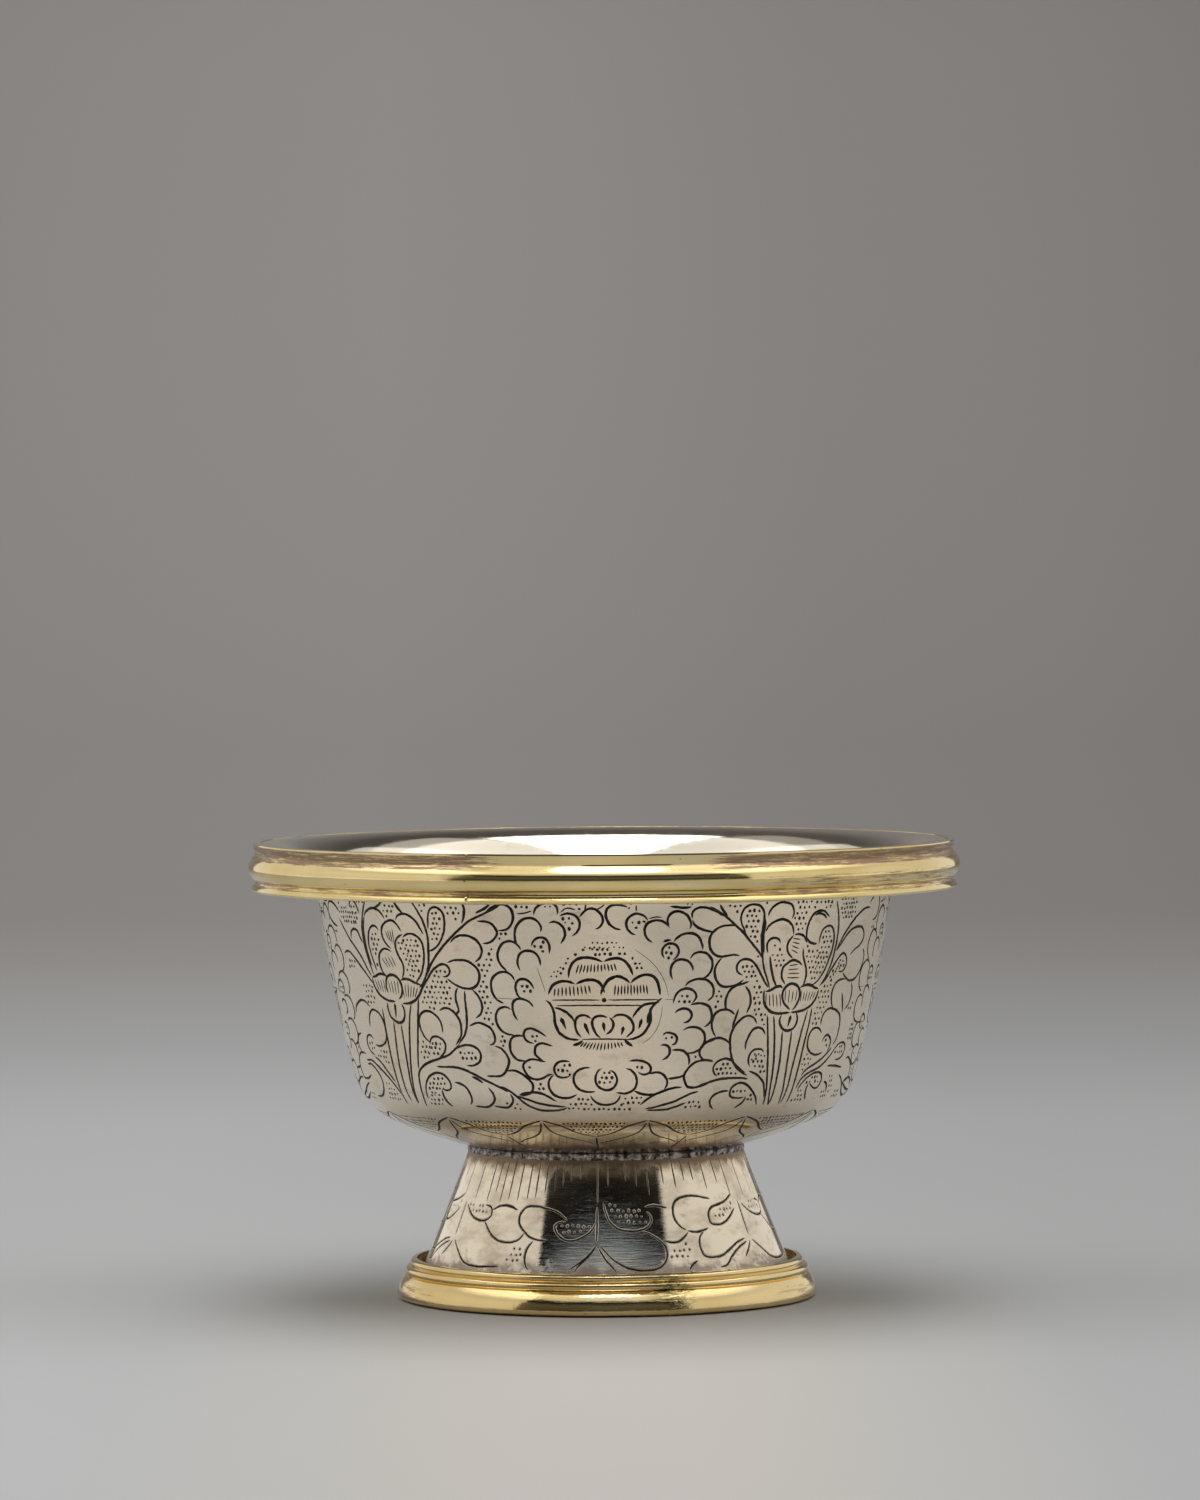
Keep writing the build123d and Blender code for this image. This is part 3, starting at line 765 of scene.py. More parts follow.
# the open lotus between the medallions, on the right of the front
rightLotus = {
    "at": [0],
    "bold": [
        [21.65, 43.4, 21.65, 42.46, 21.85, 41.6, 22.4, 40.8, 23.2, 40.27, 24.25, 40, 25.5, 40,
         26.5, 40.06],
        [21.75, 43.1, 22.6, 43.2, 23.4, 43.6, 24.15, 43.7, 24.7, 43.4],
        [27.6, 43.25, 28.2, 43.56, 29, 43.65, 29.9, 43.5, 30.5, 43.2, 31.4, 42.98],
        [31.4, 42.98, 31.2, 42.04, 30.7, 41.2, 29.9, 40.6, 28.8, 40.2, 27.6, 40.06, 26.5, 40.06],
        [26.5, 40.4, 25.7, 40.9, 25, 41.6, 24.7, 42.56, 25, 43.4, 25.7, 43.9, 26.5, 43.9, 27.4, 43.4,
         27.8, 42.56, 27.7, 41.6, 27.2, 40.7, 26.65, 40.3],
        [25.1, 39.85, 24.8, 39.2, 25, 38.5, 25.5, 37.9, 26.3, 37.56, 27.2, 37.67, 27.8, 38.1,
         28.04, 38.8, 27.9, 39.5, 27.5, 40.06],
    ],
    "lobes": [
        [13, 54.75, 14.25, 54, 15.5, 53.1, 16.75, 52, 17.8, 51.1, 19, 49.75, 20.1, 48.6, 21.1, 47.35],
        [14.35, 54.95, 14.8, 54.2, 15.5, 53.3],
        [20.85, 53, 20.85, 51.8, 20.7, 50.6, 20.85, 49.3, 21.05, 48.1],
        [21.2, 53.1, 21.5, 53.9, 22.06, 54.5, 22.9, 54.9, 23.8, 54.9, 24.7, 54.6, 25.15, 53.9,
         25.2, 53.2, 24.9, 52.6],
        [21, 51, 21.3, 51.7, 21.96, 52.25, 22.8, 52.56, 23.6, 52.67, 24.46, 52.35, 25.1, 51.8,
         25.4, 51.1, 25.5, 50.4],
        [21.96, 47.9, 22.2, 46.8, 22.5, 45.8, 22.9, 44.75, 23.4, 43.9, 23.9, 43.4],
        [25.6, 50.5, 25, 49.96, 24.6, 49.2, 24.7, 48.5, 25.2, 47.8, 25.8, 47.35],
        [25.6, 50.5, 26.3, 50.6, 27.06, 50.4, 27.6, 49.9, 27.9, 49.3],
        [25.9, 47.15, 25.1, 46.8, 24.35, 46.3, 24.15, 45.5, 24.35, 44.65, 25, 43.9],
        [24.56, 46.5, 25.3, 47, 26.1, 47.1, 26.96, 46.8, 27.6, 46.3],
        [27.4, 48.8, 27.5, 47.8, 27.9, 46.8, 28.3, 46, 28.5, 45.2, 28.4, 44.2, 28.1, 43.4],
        [28, 49.3, 27.7, 50.4, 27.8, 51.6, 28.2, 52.56, 28.8, 53.25, 29.7, 53.56, 30.6, 53.46,
         31.3, 52.98, 31.85, 52.56],
        [28.8, 52.98, 29.7, 53.2, 30.7, 52.9, 31.3, 52.35],
        [27.9, 50.06, 28.3, 49.5, 29, 49.2, 29.9, 49.1],
        [32.9, 54.85, 33.3, 53.7, 33.7, 52.46, 33.9, 51, 33.9, 49.5, 33.7, 48.1, 33.4, 46.6, 32.9, 45.4,
         32.3, 44.3, 31.4, 43.3],
        [41.96, 53.4, 40.9, 53.46, 39.9, 53.3, 38.8, 52.8, 37.6, 52.1, 36.3, 51, 35.3, 49.96,
         34.5, 48.8, 34, 47.9],
        [34, 47.9, 34.9, 48.8, 35.9, 49.85, 36.96, 50.6, 38, 50.9, 39.15, 51, 40.2, 50.7, 40.8, 50.06,
         40.9, 49.4, 40.5, 48.8, 39.7, 48.3, 38.6, 47.9, 37.6, 47.25],
        [36.3, 44.96, 37.2, 44.3, 38.2, 43.8, 39.25, 43.7, 40.3, 44, 41.2, 44.75, 41.85, 45.8,
         41.96, 46.8, 41.65, 47.56, 41.1, 47.9],
        [35.4, 40.06, 34.9, 40.8, 34.56, 41.6, 34.5, 42.5, 34.7, 43.1, 35.1, 43.6, 36.1, 44, 37.4, 43.96],
        [39.25, 43.5, 39.8, 42.46, 39.9, 41.4, 39.5, 40.4, 38.6, 39.75],
        [37.06, 42.25, 37.5, 41.2, 37.9, 40.2, 38.1, 39.3],
        [33.2, 37.9, 33.1, 38.7, 33.5, 39.65, 34.5, 40.17, 35.5, 40.06, 36.5, 39.75, 37.5, 39.1,
         38, 38.1, 38.1, 36.8, 37.9, 35.8, 37.2, 34.96],
        [33.8, 36.8, 33.2, 37.35, 32.4, 37.67, 31.5, 37.46, 31, 36.8, 30.9, 35.9, 31.1, 35.06,
         31.75, 34.4, 32.7, 34, 33.8, 33.9, 34.9, 34.2],
        [30.9, 31, 31.3, 31.6, 32.2, 32.15, 33.4, 32.56, 34.9, 33.2, 36.1, 33.9, 37.2, 34.75],
        [30.3, 29.3, 30.7, 30.2, 31.5, 31, 33, 31.6, 34.7, 32.04, 36.3, 32.9, 37.8, 34.1, 38.2, 34.75],
        [36.96, 32.15, 39, 32.04, 42, 31.6], [33, 29.96, 32.8, 29.1, 33.1, 28.2, 33.6, 27.5],
        [36.96, 29.96, 37.8, 29.75, 38.4, 29.1, 38.7, 28.3],
        [22.6, 39.96, 23.2, 36.8, 23.8, 33.5, 24.35, 29.96, 24.7, 27.15],
        [23.7, 39.75, 24.25, 37.25, 24.7, 34.75, 25, 32.04, 25.1, 29.3, 25.6, 27.15],
        [25.6, 37.67, 25.8, 35.6, 26, 33.5, 26, 31.4, 25.9, 29.3, 25.7, 27.15],
        [27.3, 37.67, 27.4, 35.2, 27.5, 32.7, 27.6, 29.96, 27.7, 27.15],
        [29.8, 40.3, 29.35, 37.9, 29, 35.4, 28.7, 32.7, 28.5, 29.96, 28.1, 27.15],
        [30.6, 40.6, 30.5, 38.1, 30.2, 35.4, 30, 32.7, 29.7, 29.96, 29.35, 27.15],
        [16.75, 52.04, 15.7, 52.15, 14.7, 52, 13.8, 51.5, 13.3, 50.8, 13.2, 49.96, 13.4, 49,
         14.04, 48.3, 14.9, 47.98, 15.7, 48.1, 16.75, 48.2, 17.6, 48],
        [15.1, 47.9, 14.5, 47.25, 14.15, 46.3, 14.25, 45.4, 14.7, 44.5, 15.4, 44, 16.4, 43.96,
         17.5, 44.2, 18.4, 44.85],
        [16.1, 42.15, 16.2, 42.98, 16.75, 43.7, 17.5, 44.1, 18.4, 44.3, 19.25, 44.54],
        [18.6, 44, 19.25, 43.3, 19.6, 42.46, 19.7, 41.4, 19.25, 40.2],
        [16.1, 42.98, 16, 41.8, 16.2, 40.6], [18, 41, 17.7, 39.75, 17.3, 38.3],
        [17.6, 40.06, 16.96, 40.6, 16.1, 40.9, 15.3, 40.8, 14.7, 40.4, 14.3, 39.5, 14.35, 38.5,
         14.7, 37.67, 15.1, 37.15],
        [13, 36.2, 13.8, 36.6, 14.9, 37, 15.9, 37, 16.75, 36.6, 17.3, 36.1],
        [13, 34.1, 14.04, 34.1, 15.1, 33.85],
        [21.1, 38.7, 20.7, 39.4, 19.98, 39.85, 19.15, 39.85, 18.3, 39.3, 17.6, 38.4, 17.2, 37.25,
         17.3, 36, 17.6, 34.75, 18.1, 33.6, 18.9, 32.7, 19.9, 32.04, 20.7, 31.7],
        [19.8, 35.2, 19.7, 36.1, 20, 37.04, 20.5, 37.9, 21.2, 38.25, 21.96, 38.1, 22.5, 37.56,
         22.75, 37.15],
        [20.7, 32.35, 21.96, 31.9, 22.9, 31.3, 23.6, 30.6, 24.04, 29.5, 24.35, 28.3],
        [13, 30.6, 14.25, 30.9, 15.7, 31.3, 17.2, 31.46, 18.6, 31.46, 19.9, 31.4, 20.9, 31.2],
        [18, 29.7, 16.96, 29.7, 16, 29.4, 15.4, 28.9, 15.2, 28.3, 15.5, 27.56, 16.1, 27.04],
        [21, 28.9, 20.8, 28.1, 20.2, 27.5, 19.5, 27.04],
    ],
    "balls": [
        [18.2, 51, 17.6, 52.04, 17.3, 52.98, 17.5, 53.9, 18, 54.54, 18.8, 54.8, 19.8, 54.65, 20.4, 54.1,
         20.65, 53.3, 20.6, 51.8, 20.46, 50.6, 20.6, 49.3, 20.8, 48.1, 21, 47.04, 21.4, 45.8,
         21.96, 44.65, 22.5, 43.4],
        [21.65, 48.2, 21.4, 49.1, 21.5, 49.75, 22.06, 50.2, 22.7, 50.2, 23.2, 49.96, 23.5, 49.4],
        [30.2, 49, 30.3, 50.06, 30.7, 50.96, 31.4, 51.4, 32.2, 51.4, 32.8, 50.9, 33.15, 50.06,
         33.2, 49.1, 33, 47.9, 32.6, 46.8, 32.2, 45.8, 31.5, 44.75, 30.7, 43.96, 29.7, 43.5],
        [31.75, 43.5, 32.6, 44.3, 33.4, 45.4, 34.25, 46.4, 35.1, 47.25, 35.8, 47.56, 36.5, 47.25,
         36.9, 46.6, 36.96, 45.9, 36.5, 45.3, 35.9, 45.06, 35.1, 45.2],
        [34.3, 35.5, 34.46, 36.1, 35.1, 36.5, 35.8, 36.3, 36.4, 35.7, 36.4, 34.85, 36, 34.1],
        [38, 34.3, 38.8, 34.96, 39.9, 35.2, 41, 34.96, 41.5, 34.2, 41.1, 33.3, 40.1, 32.9, 38.8, 32.9],
        [30.7, 29.1, 31.3, 29.96, 32.4, 30.8, 33.6, 31.3, 34.9, 31.4, 35.8, 31.1, 36.2, 30.5,
         36.1, 29.75, 35.5, 29.2, 34.7, 29.2, 33.8, 29.65, 33.2, 29.96],
        [18.2, 45.4, 17.6, 45.65, 17.2, 46.25, 17.3, 46.98, 17.8, 47.46, 18.6, 47.56, 19.4, 47.25,
         20.2, 46.4, 20.9, 45.4, 21.65, 44.3, 22.3, 43.5],
        [22.9, 34.75, 22.5, 35.2, 21.65, 35.3, 20.9, 35.06, 20.5, 34.4, 20.5, 33.6, 20.9, 32.9],
        [15.9, 31.8, 15.3, 32.25, 15.1, 32.9, 15.3, 33.5, 15.9, 33.96, 16.85, 34.2, 17.7, 33.96,
         18.4, 33.4, 19.25, 32.7, 20.3, 32.04],
        [23.4, 27.25, 22.8, 28.5, 21.96, 29.5, 21, 30.3, 20.1, 30.7, 19.25, 30.7, 18.5, 30.3,
         18.15, 29.65, 18.3, 29, 18.9, 28.7, 19.9, 28.6, 20.7, 28.7],
    ],
    "fine": [], "scratches": [], "drops": [[26.75, 39.7, 26.4, 38]], "spots": [], "hatchWidth": .18,
    "hatch": [
        (5, (21.95, 43), (22.2, 41.2), (24.2, 42.9), (24.7, 40.8), .2),
        (4, (25.15, 43.4), (25.3, 41.5), (27.2, 43.3), (27.15, 41.4), .3),
        (6, (28.05, 43.1), (28.1, 41.3), (30.9, 42.8), (30.3, 41.5), 0),
        (4, (25.3, 50.1), (26.9, 49.8), (25.2, 48.6), (26.6, 48), 0),
        (4, (25, 46.4), (26.9, 46.5), (25, 44.8), (27.3, 44.7), .1),
    ],
    "coarse": [
        [34.2, 52.4, 36.4, 52.1, 38, 53.2, 37.4, 55.3, 34, 55.3],
    ],
    "faint": [],
    "fields": [
        [28.3, 44.2, 28.9, 46, 28, 47.6, 28, 48.9, 30.2, 49, 30.5, 47, 30.4, 44.6],
        [25.5, 50.9, 27.5, 50.9, 27.6, 53, 28.2, 55.3, 25.3, 55.3],
        [20, 40.9, 21.4, 41.2, 22.3, 39.9, 22.7, 38.2, 21.4, 38.5, 19.9, 40.2],
        [19.8, 41.2, 21.5, 41.4, 21.5, 43.8, 19.6, 44.4],
        [14.5, 41.2, 15.9, 40.9, 16, 43, 15.2, 43.8, 14.4, 43.7],
        [31.2, 37.9, 32.9, 38.1, 34, 40.6, 34.4, 43.6, 32.4, 43.8, 31.6, 42],
        [30.1, 27.3, 32.8, 27.3, 32.8, 29.7, 31.2, 29.5],
        [30, 31.6, 31.4, 32, 32.8, 33.5, 31.2, 34.6, 30.3, 34.6],
        [36.8, 28.2, 38, 27.4, 40.2, 27.8, 39.8, 30.8, 38, 30.8],
        [21.9, 48, 23.7, 49.3, 24.5, 47.4, 23.8, 46, 22.8, 45.4, 22.2, 47],
        [33, 43.7, 34.5, 43.9, 35.1, 45, 35.5, 45.3, 35.1, 46.7, 34.2, 45.8],
        [20.8, 32.6, 22.4, 31.6, 23.7, 31.1, 24, 31.9, 23.1, 34.6, 21, 34.6],
        [38.9, 39.5, 41, 39.7, 41.3, 41.1, 39.9, 41.3], [28.6, 53.8, 32.2, 53.6, 32.6, 55.4, 28.6, 55.4],
        [15.4, 54.6, 17.2, 53.6, 17.4, 55.3, 15.2, 55.5],
        [20.6, 53.9, 21.2, 53.9, 21.6, 55.4, 20.3, 55.4],
    ],
}

# the lotus on the left of the front
leftLotus = {
    "at": [0],
    "bold": [
        [-35.1, 44.85, -35, 43.9, -34.6, 43.1, -33.8, 42.35, -32.8, 41.9, -31.8, 41.7, -30.75, 41.7],
        [-35.2, 44.8, -34.3, 44.96, -33.5, 45.3, -32.6, 45.3, -32, 44.96],
        [-32, 42.7, -32.25, 43.6, -32, 44.65, -31.4, 45.2, -30.5, 45.3, -29.7, 44.96, -29.2, 44.2,
         -29.1, 43.3, -29.5, 42.46, -30.1, 42],
        [-29.2, 44.6, -28.5, 44.85, -27.6, 44.8, -26.8, 44.5, -26.2, 44.3, -25.4, 44.1],
        [-25.4, 44.1, -25.75, 43.2, -26.4, 42.46, -27.2, 41.9, -28.25, 41.56, -29.5, 41.5],
        [-32.6, 41.6, -32.7, 40.6, -32.4, 39.6, -31.6, 39, -30.75, 38.8, -29.9, 39.1, -29.4, 39.96,
         -29.4, 40.9, -29.8, 41.5],
    ],
    "lobes": [
        [-34.2, 55.4, -34.8, 54.3, -35.3, 53.1, -35.75, 51.6, -35.85, 50.2, -35.75, 48.9, -35.4, 47.5,
         -35, 46.2, -34.6, 45.06],
        [-34.9, 53.1, -35.4, 51.6, -35.5, 50.2, -35.4, 48.9, -35.1, 47.5, -34.7, 46.2],
        [-35, 52.9, -34.6, 53.5, -33.8, 53.98, -32.8, 54.2, -31.9, 53.98, -31.2, 53.5, -30.65, 52.7],
        [-32.8, 54.2, -31.8, 54.5, -30.85, 55.2, -30.3, 55.5],
        [-30.1, 48.8, -30.75, 49.3, -31.4, 50.06, -31.6, 50.9, -31.4, 51.7, -30.65, 52.35, -29.7, 52.67,
         -28.9, 52.46, -28.25, 51.8, -27.8, 51.1],
        [-28.7, 52.67, -28.25, 53.3, -27.4, 53.6, -26.5, 53.5, -25.5, 52.98, -24.9, 52.25, -24.4, 51.4,
         -24.1, 50.9],
        [-30.1, 48.4, -30.75, 48.7, -31.5, 48.8, -32.2, 48.5, -32.7, 47.9, -32.9, 47.04, -32.7, 46.1,
         -32.3, 45.4, -31.6, 44.96],
        [-28.8, 44.85, -28.25, 46, -28.35, 47.04, -28.9, 47.98, -29.25, 49, -29.04, 49.96, -28.5, 50.5,
         -27.6, 50.9],
        [-25.85, 55.5, -25.2, 54.75, -24.6, 53.8, -24.1, 52.9, -23.7, 51.6, -23.5, 50.4, -23.6, 49.1,
         -23.7, 47.9, -23.9, 46.8, -24.5, 45.4, -25.3, 44.3, -26, 43.7],
        [-28.8, 55.5, -28.35, 54.75, -27.8, 54.1, -27.2, 53.65],
        [-13, 54.96, -14.3, 54.3, -15.75, 53.6, -17.2, 52.9, -18.5, 51.9, -19.7, 50.9, -20.96, 49.75,
         -22.2, 48.5, -23.25, 47.25, -24.1, 46, -24.9, 44.65, -25.5, 43.5, -26.2, 42.5],
        [-16.3, 53.9, -14.9, 54.65, -14.1, 55.3], [-18.1, 55.5, -17.75, 54.6, -17.9, 53.4, -18.3, 52.5],
        [-16.2, 52.9, -15.1, 52.9, -14.3, 52.67, -13.7, 52.04, -13.5, 51.3, -14, 50.5, -14.7, 50.06,
         -15.6, 49.96],
        [-20.2, 49.96, -19.6, 50.5, -18.9, 50.9, -18, 51, -17.1, 50.8, -16.3, 50.3, -15.8, 49.5,
         -15.75, 48.7, -16.2, 47.9, -16.9, 47.4],
        [-20.96, 47.25, -20.1, 47.56, -19.1, 47.7, -18, 47.6, -17, 47.04, -16.4, 46.2, -16.4, 45.2,
         -16.9, 44.3, -17.7, 43.9, -18.7, 43.9, -19.7, 44.2, -20.65, 44.75, -21.2, 45.2],
        [-19.6, 44, -20, 43.5, -20.2, 42.46, -20, 41.2, -19.8, 40.7],
        [-17.7, 43.8, -17, 43.2, -16.5, 42.25, -16.4, 41.2, -16.8, 40.4, -17.6, 39.85],
        [-18.7, 43.7, -18.8, 42.46, -18.8, 41, -18.9, 39.5, -19.1, 38.5, -19.6, 37.46, -20.2, 36.8,
         -20.75, 36.2],
        [-18.7, 38.75, -18, 39.1, -17.2, 39.3, -16.4, 39.1, -15.5, 38.6, -15.1, 37.9, -15, 37.15,
         -15.3, 36.5, -16, 36.25],
        [-29.1, 27.04, -29, 28.9, -29, 30.8, -28.7, 32.04, -27.8, 32.9, -26.6, 33.5, -25.3, 33.9,
         -23.9, 34.3, -22.6, 34.75, -21.5, 35.5, -20.5, 36.3],
        [-15.3, 36.2, -14.3, 35.9, -13.6, 35.06, -13.3, 34.1, -13.7, 33.1, -14.3, 32.35, -15.1, 32.04,
         -17, 32.04],
        [-25.5, 36.3, -26.3, 37.04, -26.8, 38.1, -26.9, 39.1, -26.5, 40.06, -25.6, 40.6, -24.7, 40.6,
         -23.9, 40.2, -23.25, 39.5, -23, 38.7, -23.04, 37.67],
        [-23.1, 40.7, -22.4, 41.1, -21.5, 41.1, -20.6, 40.5, -20, 39.5, -19.9, 38.5, -20.1, 37.46,
         -20.75, 36.6, -21.2, 36.1],
        [-25.1, 33.1, -23.9, 33.04, -22.6, 33.1, -21.2, 33, -19.7, 32.56, -18.5, 32.04, -17.2, 31.4,
         -16, 30.9, -14.7, 30.3, -13.9, 29.85],
        [-19.4, 31.9, -18.5, 31.6, -17.6, 31],
        [-17, 30.5, -16.4, 29.75, -16.2, 28.9, -16.7, 28.1, -17.8, 27.56, -19.8, 27.67],
        [-13.7, 29.75, -13.35, 28.9, -13.8, 28, -14.7, 27.56, -16.6, 27.8],
        [-24.9, 29.96, -24.8, 28.9, -24.4, 28, -23.7, 27.35],
        [-22.4, 31, -21.5, 30.85, -20.5, 30.3, -20, 29.3, -20, 28.4, -20.5, 27.8],
        [-34, 40.7, -34.1, 38.3, -34.2, 35.8, -34.25, 33.3, -34.1, 31, -33.8, 28.9, -33.4, 27.15],
        [-32, 39, -32.2, 37.04, -32.5, 34.96, -32.7, 32.7, -32.6, 30.4, -32.3, 28.7, -32, 27.7],
        [-30.5, 38.7, -30.6, 36.6, -30.7, 34.5, -30.85, 32.46, -30.96, 30.4, -30.75, 27.46],
        [-27.8, 41.6, -28.5, 39.75, -29, 37.9, -29.5, 35.8, -30, 33.7, -30.4, 31.6, -30.6, 29.5,
         -30.6, 27.46],
        [-26.3, 42.35, -26.7, 40.8, -27.2, 38.7, -27.7, 36.6, -28.25, 34.5, -28.7, 32.5],
        [-38.9, 49.75, -38.9, 50.5, -38.5, 51, -37.6, 51.2, -36.9, 50.8, -36.5, 49.96, -36, 49.3],
        [-42, 52.46, -40.75, 51.1, -39.5, 49.75, -38.25, 48.7, -37, 47.46, -36, 46, -35.1, 44.85],
        [-42, 47.7, -41.2, 48, -40.2, 48.04, -38.9, 47.25, -37.6, 46.2, -36.4, 45.2, -35.1, 43.9],
        [-38.25, 37.7, -38, 38.7, -37.6, 39.6, -36.9, 40.2, -36, 40.3, -35, 39.85, -34.4, 39,
         -34.2, 37.9, -34.3, 36.8, -34.8, 36, -35.75, 35.5, -36.8, 35.3, -37.8, 35.5],
        [-42, 39.5, -41.2, 40.6, -40.1, 41.2, -39.1, 41.5, -38, 41.3, -37, 40.6],
        [-42, 33.1, -39.9, 33.1, -37.8, 32.04, -36.2, 31, -34.7, 29.75, -33.9, 28.7],
        [-38.9, 33.8, -37.4, 33.1, -36, 31.8, -34.5, 30.4],
        [-42, 32.5, -40.7, 32.6, -39.5, 32, -38.5, 31, -38.35, 29.75, -39.1, 28.7, -40.3, 28.1, -42, 28],
    ],
    "balls": [
        [-33.7, 45.6, -34.2, 47.04, -34.5, 48.1, -34.7, 49.3, -34.5, 50.5, -34.1, 51.3, -33.35, 51.8,
         -32.6, 51.7, -32.1, 51.1],
        [-27.8, 50.4, -27.2, 50.8, -26.4, 51, -25.3, 50.7, -24.6, 49.96, -24.4, 48.9, -24.5, 47.67,
         -24.8, 46.6, -25.3, 45.6, -26.1, 44.65, -26.5, 44.3],
        [-23.7, 48.7, -22.6, 49.1, -21.8, 49.85, -21.1, 51, -20.75, 52.25, -20.75, 53.5, -21.2, 54.3,
         -22, 54.65, -22.7, 54.4, -23.1, 53.7, -23.25, 52.67, -23.3, 51.6],
        [-25.3, 43.7, -24.5, 44.75, -23.5, 46, -22.6, 46.7, -21.8, 47.04, -21.06, 46.9, -20.65, 46.4,
         -20.75, 45.8, -21.3, 45.4, -21.9, 45.4],
        [-21.5, 35.5, -20.5, 36, -19.5, 36.2, -18.5, 36.1, -17.6, 35.5, -17.4, 34.75, -17.8, 33.9,
         -18.9, 33.4, -19.9, 33.4],
        [-25.6, 36, -25.4, 36.6, -24.9, 37.1, -24.1, 37.2, -23.35, 36.9, -22.9, 36.3, -23, 35.5,
         -23.6, 34.75, -24.5, 34.1, -25.3, 33.9],
        [-28.04, 28.3, -28.1, 29.3, -27.8, 30.4, -27.2, 31.3, -26.3, 31.9, -25.2, 32.2, -24.2, 32.04,
         -23.5, 31.5, -23.1, 30.8, -23.25, 30.06, -24, 29.8, -24.9, 29.96],
        [-38, 36, -38.35, 36.6, -39.1, 36.7, -39.8, 36.4, -40.2, 35.7, -40.1, 34.96, -39.5, 34.3,
         -38.5, 33.9],
        [-38.25, 53.9, -38.3, 54.5, -37.8, 55.06, -37, 54.96, -36.4, 54.2, -36, 53.1],
    ],
    "fine": [], "scratches": [], "drops": [[-31.06, 41.5, -31.3, 39.3]], "spots": [], "hatchWidth": .18,
    "hatch": [
        (4, (-34.6, 44.7), (-33.9, 42.9), (-32.7, 45), (-32.6, 42.7), 0),
        (4, (-31.7, 44.8), (-31.4, 42.7), (-29.8, 44.7), (-29.9, 42.6), .15),
        (6, (-29, 44.5), (-28.9, 42.1), (-26.1, 44), (-27, 42.3), 0),
        (4, (-30.9, 51.4), (-30.3, 49.9), (-29.5, 51.8), (-29.4, 49.3), 0),
        (4, (-32.4, 47.7), (-31.2, 46.2), (-30.4, 48), (-29.6, 46.4), .1),
    ],
    "coarse": [
        [-41.5, 52.2, -37, 51.8, -36.2, 53, -38.4, 54.2, -41.6, 54.6],
    ],
    "faint": [],
    "fields": [
        [-28, 45.2, -27.9, 47.2, -28.8, 49, -28.5, 50.2, -27.4, 50.2, -26.4, 47.6, -26.8, 45],
        [-26.2, 43, -25.7, 41, -24.4, 40.7, -23.2, 41.3, -21.4, 41.3, -20.3, 41.5, -20.1, 43.6,
         -21.1, 45, -21.9, 45.4, -21.8, 46.3, -23.4, 45.9],
        [-15.7, 49.9, -13.6, 49.9, -13.9, 48.4, -14.5, 46.6, -14.9, 44.6, -14.9, 42.4, -14.9, 40.6,
         -14.9, 38.8, -16.8, 39.6, -16.5, 40.6, -16.2, 41.6, -16.3, 43, -16.7, 43.8, -16.2, 45,
         -16.2, 46, -16.8, 47.1, -15.7, 48],
        [-31.2, 53, -29.1, 52.8, -28.2, 54.4, -29.2, 55.4, -30.6, 55.2],
        [-38.2, 41.4, -35.5, 41, -35.3, 43.6, -37.8, 44.2],
        [-38.2, 33.8, -35, 32.8, -34.6, 35.2, -36.6, 35.2],
        [-37.8, 27.6, -34.4, 27.6, -35, 29.6, -37.4, 30.6],
        [-28, 27.3, -25, 27.3, -25.2, 29.8, -27.8, 28.8],
        [-28.7, 34.1, -26, 33.9, -25.3, 35, -25.6, 36.3, -28.1, 36.7],
        [-40.9, 45.7, -38.6, 46.1, -38.1, 47, -39.8, 47.5, -41.1, 46.9],
        [-36.2, 53.4, -35.5, 53.2, -34.6, 55, -36.6, 55.4],
        [-20.6, 53.6, -18.6, 52.8, -18, 54.2, -18.3, 55.4, -20.6, 55.4],
        [-24.3, 53.8, -23.3, 54, -22.8, 55.2, -24.9, 55.4],
    ],
}

# around, start, low and high bound the unrolled band; core is the share of a cut that has a look of its own
bowlEngraving = {"around": 226.195, "half": 113.0973, "start": -42.4115, "low": 12.5, "high": 57.5,
                 "columns": 192, "rows": 38, "core": 0}
lineWidths = {"bold": 0.43, "lobes": 0.385, "balls": 0.37, "fine": 0.22, "scratches": 0.08, "drops": 0.62}
dotSizes = {"balls": (0.68, 0.23), "fields": (0.72, 0.215), "coarse": (0.62, 0.225), "faint": (0.6, 0.15)}


def drawPattern(pattern, shift):  # strokes, shapes to dot with the dots' gap and radius, and single spots
    strokes, dotted, spots = [], [], []
    for at in pattern["at"]:
        for key, width in lineWidths.items():
            for points in pattern[key]:
                strokes.append(makeStroke(along(along(points, at), shift), width, key == "drops"))
        for row in pattern["hatch"]:
            for points in hatchRow(row):
                strokes.append(makeStroke(along(along(points, at), shift), pattern["hatchWidth"]))
        for key, sizes in dotSizes.items():
            dotted += [(pairs(along(along(points, at), shift)), sizes) for points in pattern[key]]
        spots += [(u + at + shift, v, (size, size)) for u, v, size in pattern["spots"]]
    return strokes, dotted, spots


# arcs: bend and sweep of the dish, the shoulder, the wall and the lip, which bends the other way
bowlShape = {"floor": 18.3, "arcs": [(72, 23.4), (9, 51.1), (175, 8), (-7.6, 82.5)], "shoulderTop": 30,
             "thickness": 0.9, "turns": 192}
runs = [abs(bend) * math.radians(sweep) for bend, sweep in bowlShape["arcs"]]
axisV = bowlShape["shoulderTop"] - runs[1] - runs[0]
lipV = bowlShape["shoulderTop"] + runs[2] + runs[3]


